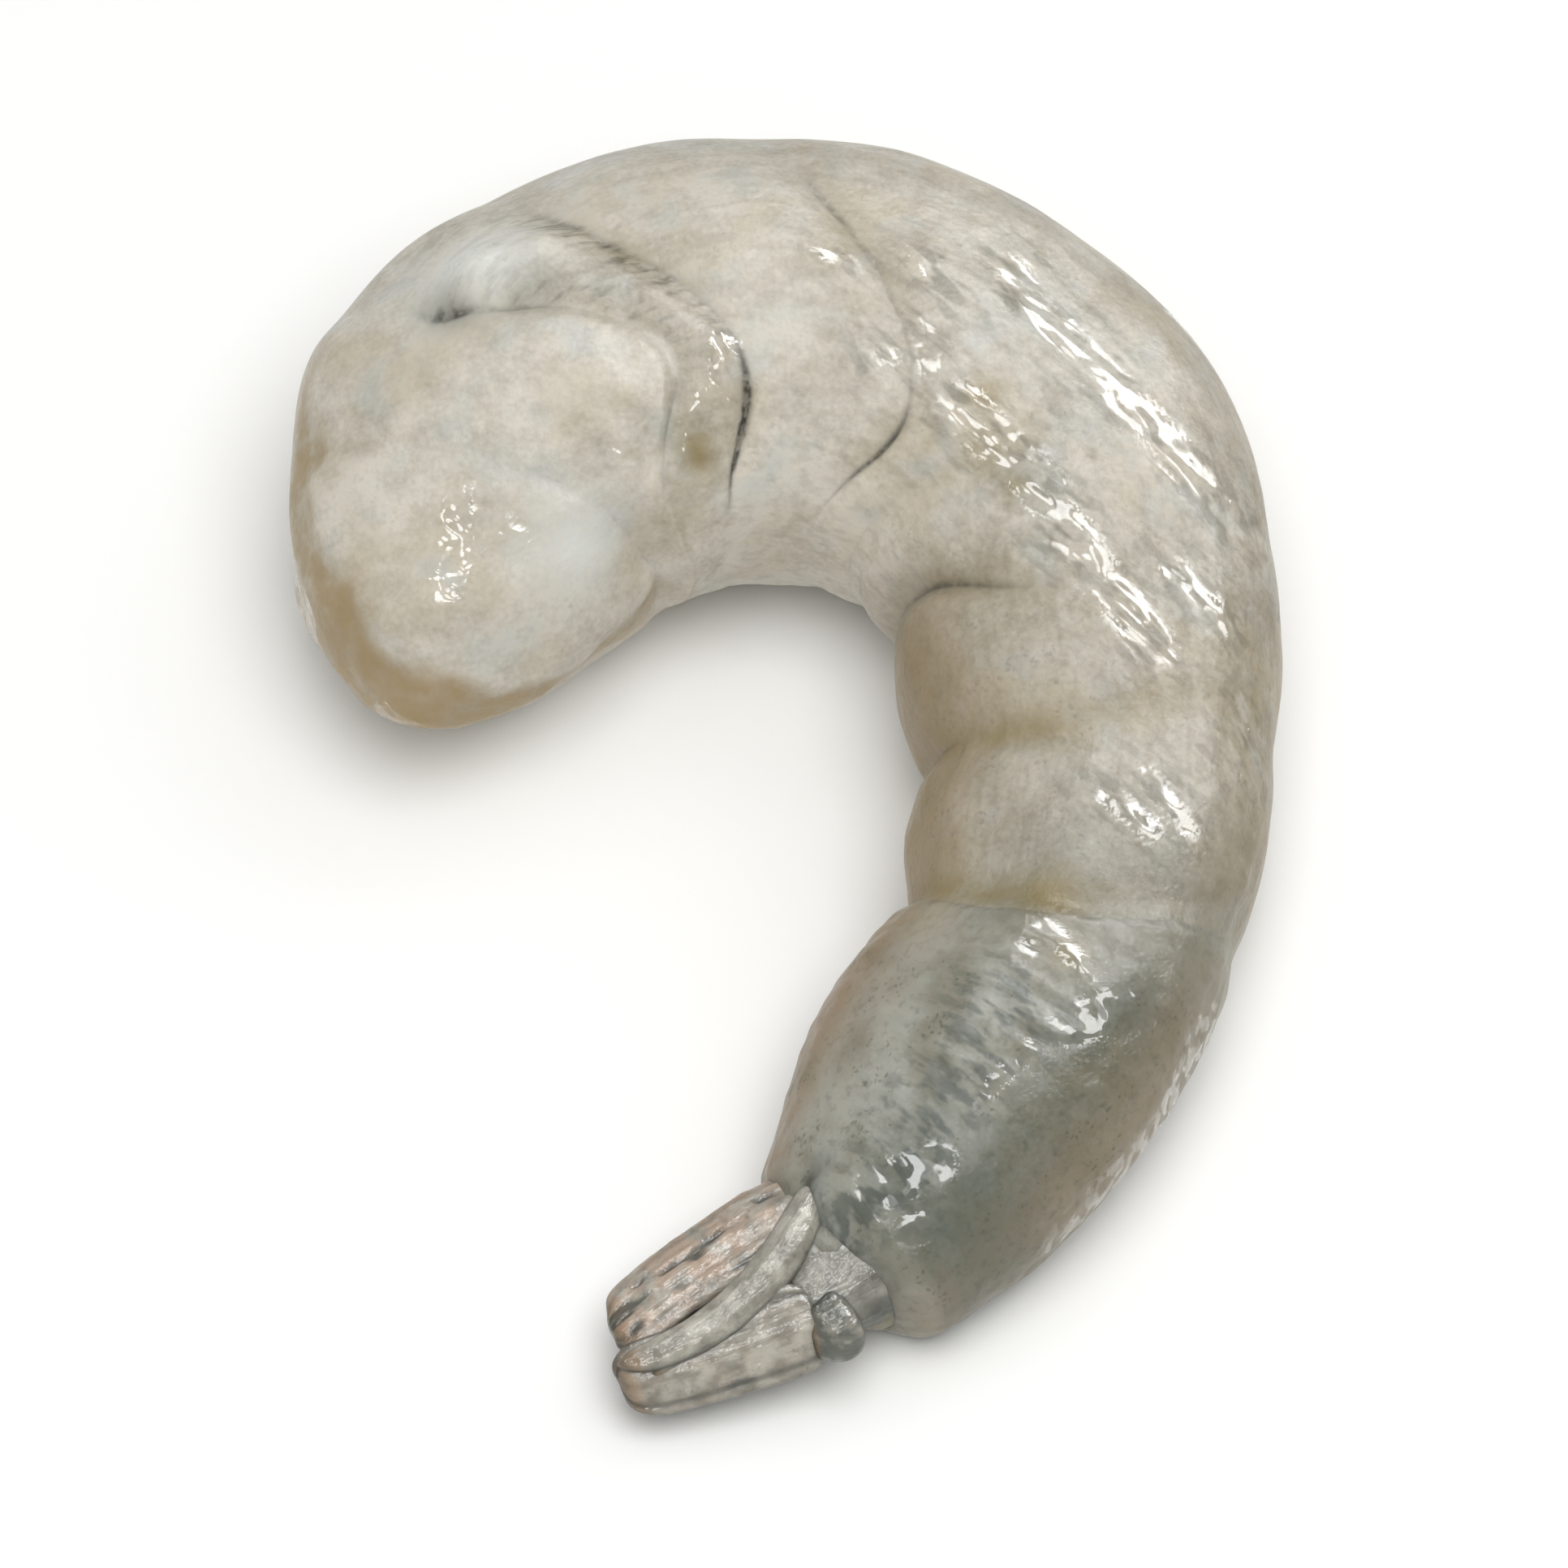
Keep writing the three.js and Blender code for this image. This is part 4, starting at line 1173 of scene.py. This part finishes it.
def makeBlade(name, number, material):
    # an oval section with a rib, carried from root to tip, blunt at both ends and narrowing
    root, tip, width, thickness, roll, bend, roundness, taper, lined, pink, dark = fan["blades"][name]
    root = np.array(root)
    roll = math.radians(roll)
    t = (1 - np.cos(np.linspace(0, np.pi, fan["rows"])))[:, None] / 2
    angle = np.arange(fan["around"])[None, :] * 2 * np.pi / fan["around"]
    outline = np.sqrt(np.clip(1 - np.abs(2 * t - 1) ** roundness, 0, 1)) * (1 - taper * t)
    share = signedPower(np.cos(angle), fan["sideRoundness"])
    sideways = share * outline * width / 2
    ribHeight, ribWidth = fan["rib"]
    marginDepth, marginPlace, marginWidth = fan["margin"]
    rib = 1 + lined * ribHeight * np.exp(-(sideways / ribWidth) ** 2)
    margin = lined * np.exp(-((np.abs(share) - marginPlace) / marginWidth) ** 2)
    thick = thickness * rib * (1 - fan["tipThinning"] * t)
    flatness = 1 - (1 - fan["flatness"]) * min(1, lined + pink)
    proud = signedPower(np.sin(angle), flatness) * outline * (thick / 2 - marginDepth * margin)
    centre = root + (np.array(tip) - root) * t[..., None]
    centre[..., 1] += bend * np.sin(np.pi * t) ** fan["bendRoundness"]
    place = np.stack(np.broadcast_arrays(centre[..., 0], sideways, proud), axis=-1)
    folds = fan["crease"]
    folded = smooth(valueNoise(place, folds["cell"], number + folds["seed"]), *folds["cut"])
    crease = (folds["least"] + pink) * folded
    push = -folds["depth"] * crease
    for everywhere, wherePink, whereDark, cell, seed in fan["rough"]:
        rise = everywhere + wherePink * pink + whereDark * dark
        push = push + rise * valueNoise(place, cell, number + seed)
    proud = proud + push * outline * np.sin(angle)
    sideways = sideways + push * outline * np.cos(angle)
    end = fan["tip"]
    ragged = end["ragged"] * valueNoise(place, end["cell"], number + end["seed"]) + end["slant"] * sideways
    along = centre[..., 0] + ragged * smooth(t, end["from"], 1.0)
    across = centre[..., 1] + sideways * math.cos(roll) + proud * math.sin(roll)
    height = centre[..., 2] - sideways * math.sin(roll) + proud * math.cos(roll)
    heading = spine["heading"][-1] - math.radians(fan["turn"])
    px = spine["x"][-1] + math.cos(heading) * along - math.sin(heading) * across
    py = spine["y"][-1] + math.sin(heading) * along + math.cos(heading) * across
    points = np.stack([px, py, onTable(height, fan["floorBlend"])], axis=-1)
    vertices, quads, triangles = withPoles(points)
    border = fan["darkEdge"]
    edge = border["margin"] * margin + border["side"] * np.abs(np.cos(angle)) ** border["narrowness"]
    edge = edge + border["crease"] * crease
    edge = edge + border["ends"] * smooth(np.abs(2 * t - 1), border["from"], 1.0)
    rust, rustFrom, rustFull = fan["rust"]
    masks = {
        "pink": pink,
        "dark": dark,
        "edge": np.clip(edge, 0, border["most"]),
        "rust": rust * smooth(t, rustFrom, rustFull),
    }
    masks = {key: np.broadcast_to(values, across.shape).ravel() for key, values in masks.items()}
    masks["unrolled"] = place
    masks = {key: gatherPoles(values, *across.shape) for key, values in masks.items()}
    makePiece(name, vertices, quads, triangles, masks, material)


def fitToFrame():
    # The plan above starts at the spine's head end, and the frame's origin is the middle of the solid's
    # box. The widest reach of the plain forms is set on that box.
    low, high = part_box("shrimp")
    middle = (low[0] + high[0]) / 2 / millimetre
    reach = bodyPoints(*fleshGrid(), detail=False).reshape(-1, 3)
    left, right, top = reach[:, 0].min(), reach[:, 0].max(), reach[:, 1].max()
    return np.array([middle - (left + right) / 2, high[1] / millimetre - top, 0.0])


frameShift = fitToFrame()
makeFlesh(fleshMaterial())
print("flesh made")
makeShell(shellMaterial())
fanFinish = fanMaterial()
for number, name in enumerate(fan["blades"]):
    makeBlade(name, number, fanFinish)
print("tail made")

# floor and light

studio = {
    "floor": "#f2f2f0",
    "floorRoughness": 0.7,
    "floorReach": 2,         # metres
    "world": (1.0, 1.0, 1.0, 1.0),
    "worldStrength": 0.5,
    # place in mm, size in mm, watts; the ceiling lights the flesh, the others only show in the wet film
    "lamps": {
        "ceiling": ((50, -100, 500), 420, 1.72, "flesh"),
        "behind": ((200, 280, 290), 210, 1.7, "film"),
        "backRight": ((270, 190, 306), 190, 1.4, "film"),
        "high": ((100, 260, 350), 160, 1.0, "film"),
        "overhead": ((0, 99, 439), 180, 1.2, "film"),
        "highLeft": ((-195, 55, 400), 110, 0.45, "film"),
        "top": ((195, 36, 403), 140, 0.75, "film"),
        "overFront": ((30, -100, 437), 120, 0.5, "film"),
        "right": ((300, 0, 335), 160, 0.95, "film"),
        "farRight": ((360, 150, 225), 160, 0.95, "film"),
        "front": ((-110, -250, 365), 160, 0.95, "film"),
        "left": ((-290, -75, 370), 80, 0.26, "film"),
    },
}


def makeFloor():
    # white paper, which scatters all the light that falls on it
    material, tree = newMaterial("white paper sweep")
    finishOf(tree, {"Base Color": linear(studio["floor"]), "Roughness": studio["floorRoughness"]})
    reach = studio["floorReach"]
    sheet = bpy.data.meshes.new("floor")
    corners = [(-reach, -reach, 0), (reach, -reach, 0), (reach, reach, 0), (-reach, reach, 0)]
    sheet.from_pydata(corners, [], [(0, 1, 2, 3)])
    sheet.materials.append(material)
    floor = bpy.data.objects.new("floor", sheet)
    bpy.context.scene.collection.objects.link(floor)


def makeLight():
    world = bpy.data.worlds.new("studio")
    world.use_nodes = True
    world.node_tree.nodes["Background"].inputs["Color"].default_value = studio["world"]
    world.node_tree.nodes["Background"].inputs["Strength"].default_value = studio["worldStrength"]
    bpy.context.scene.world = world
    for name, (place, size, power, seen) in studio["lamps"].items():
        lamp = bpy.data.lights.new(name, "AREA")
        lamp.shape = "DISK"
        lamp.size = size * millimetre
        lamp.energy = power
        holder = bpy.data.objects.new(name, lamp)
        holder.visible_glossy = seen == "film"
        holder.visible_diffuse = seen == "flesh"
        bpy.context.scene.collection.objects.link(holder)
        holder.location = [value * millimetre for value in place]
        aim = holder.location.copy()
        aim.negate()
        holder.rotation_euler = aim.to_track_quat("-Z", "Y").to_euler()
    bpy.context.scene.view_settings.view_transform = "Standard"


makeFloor()
makeLight()
print("studio made")
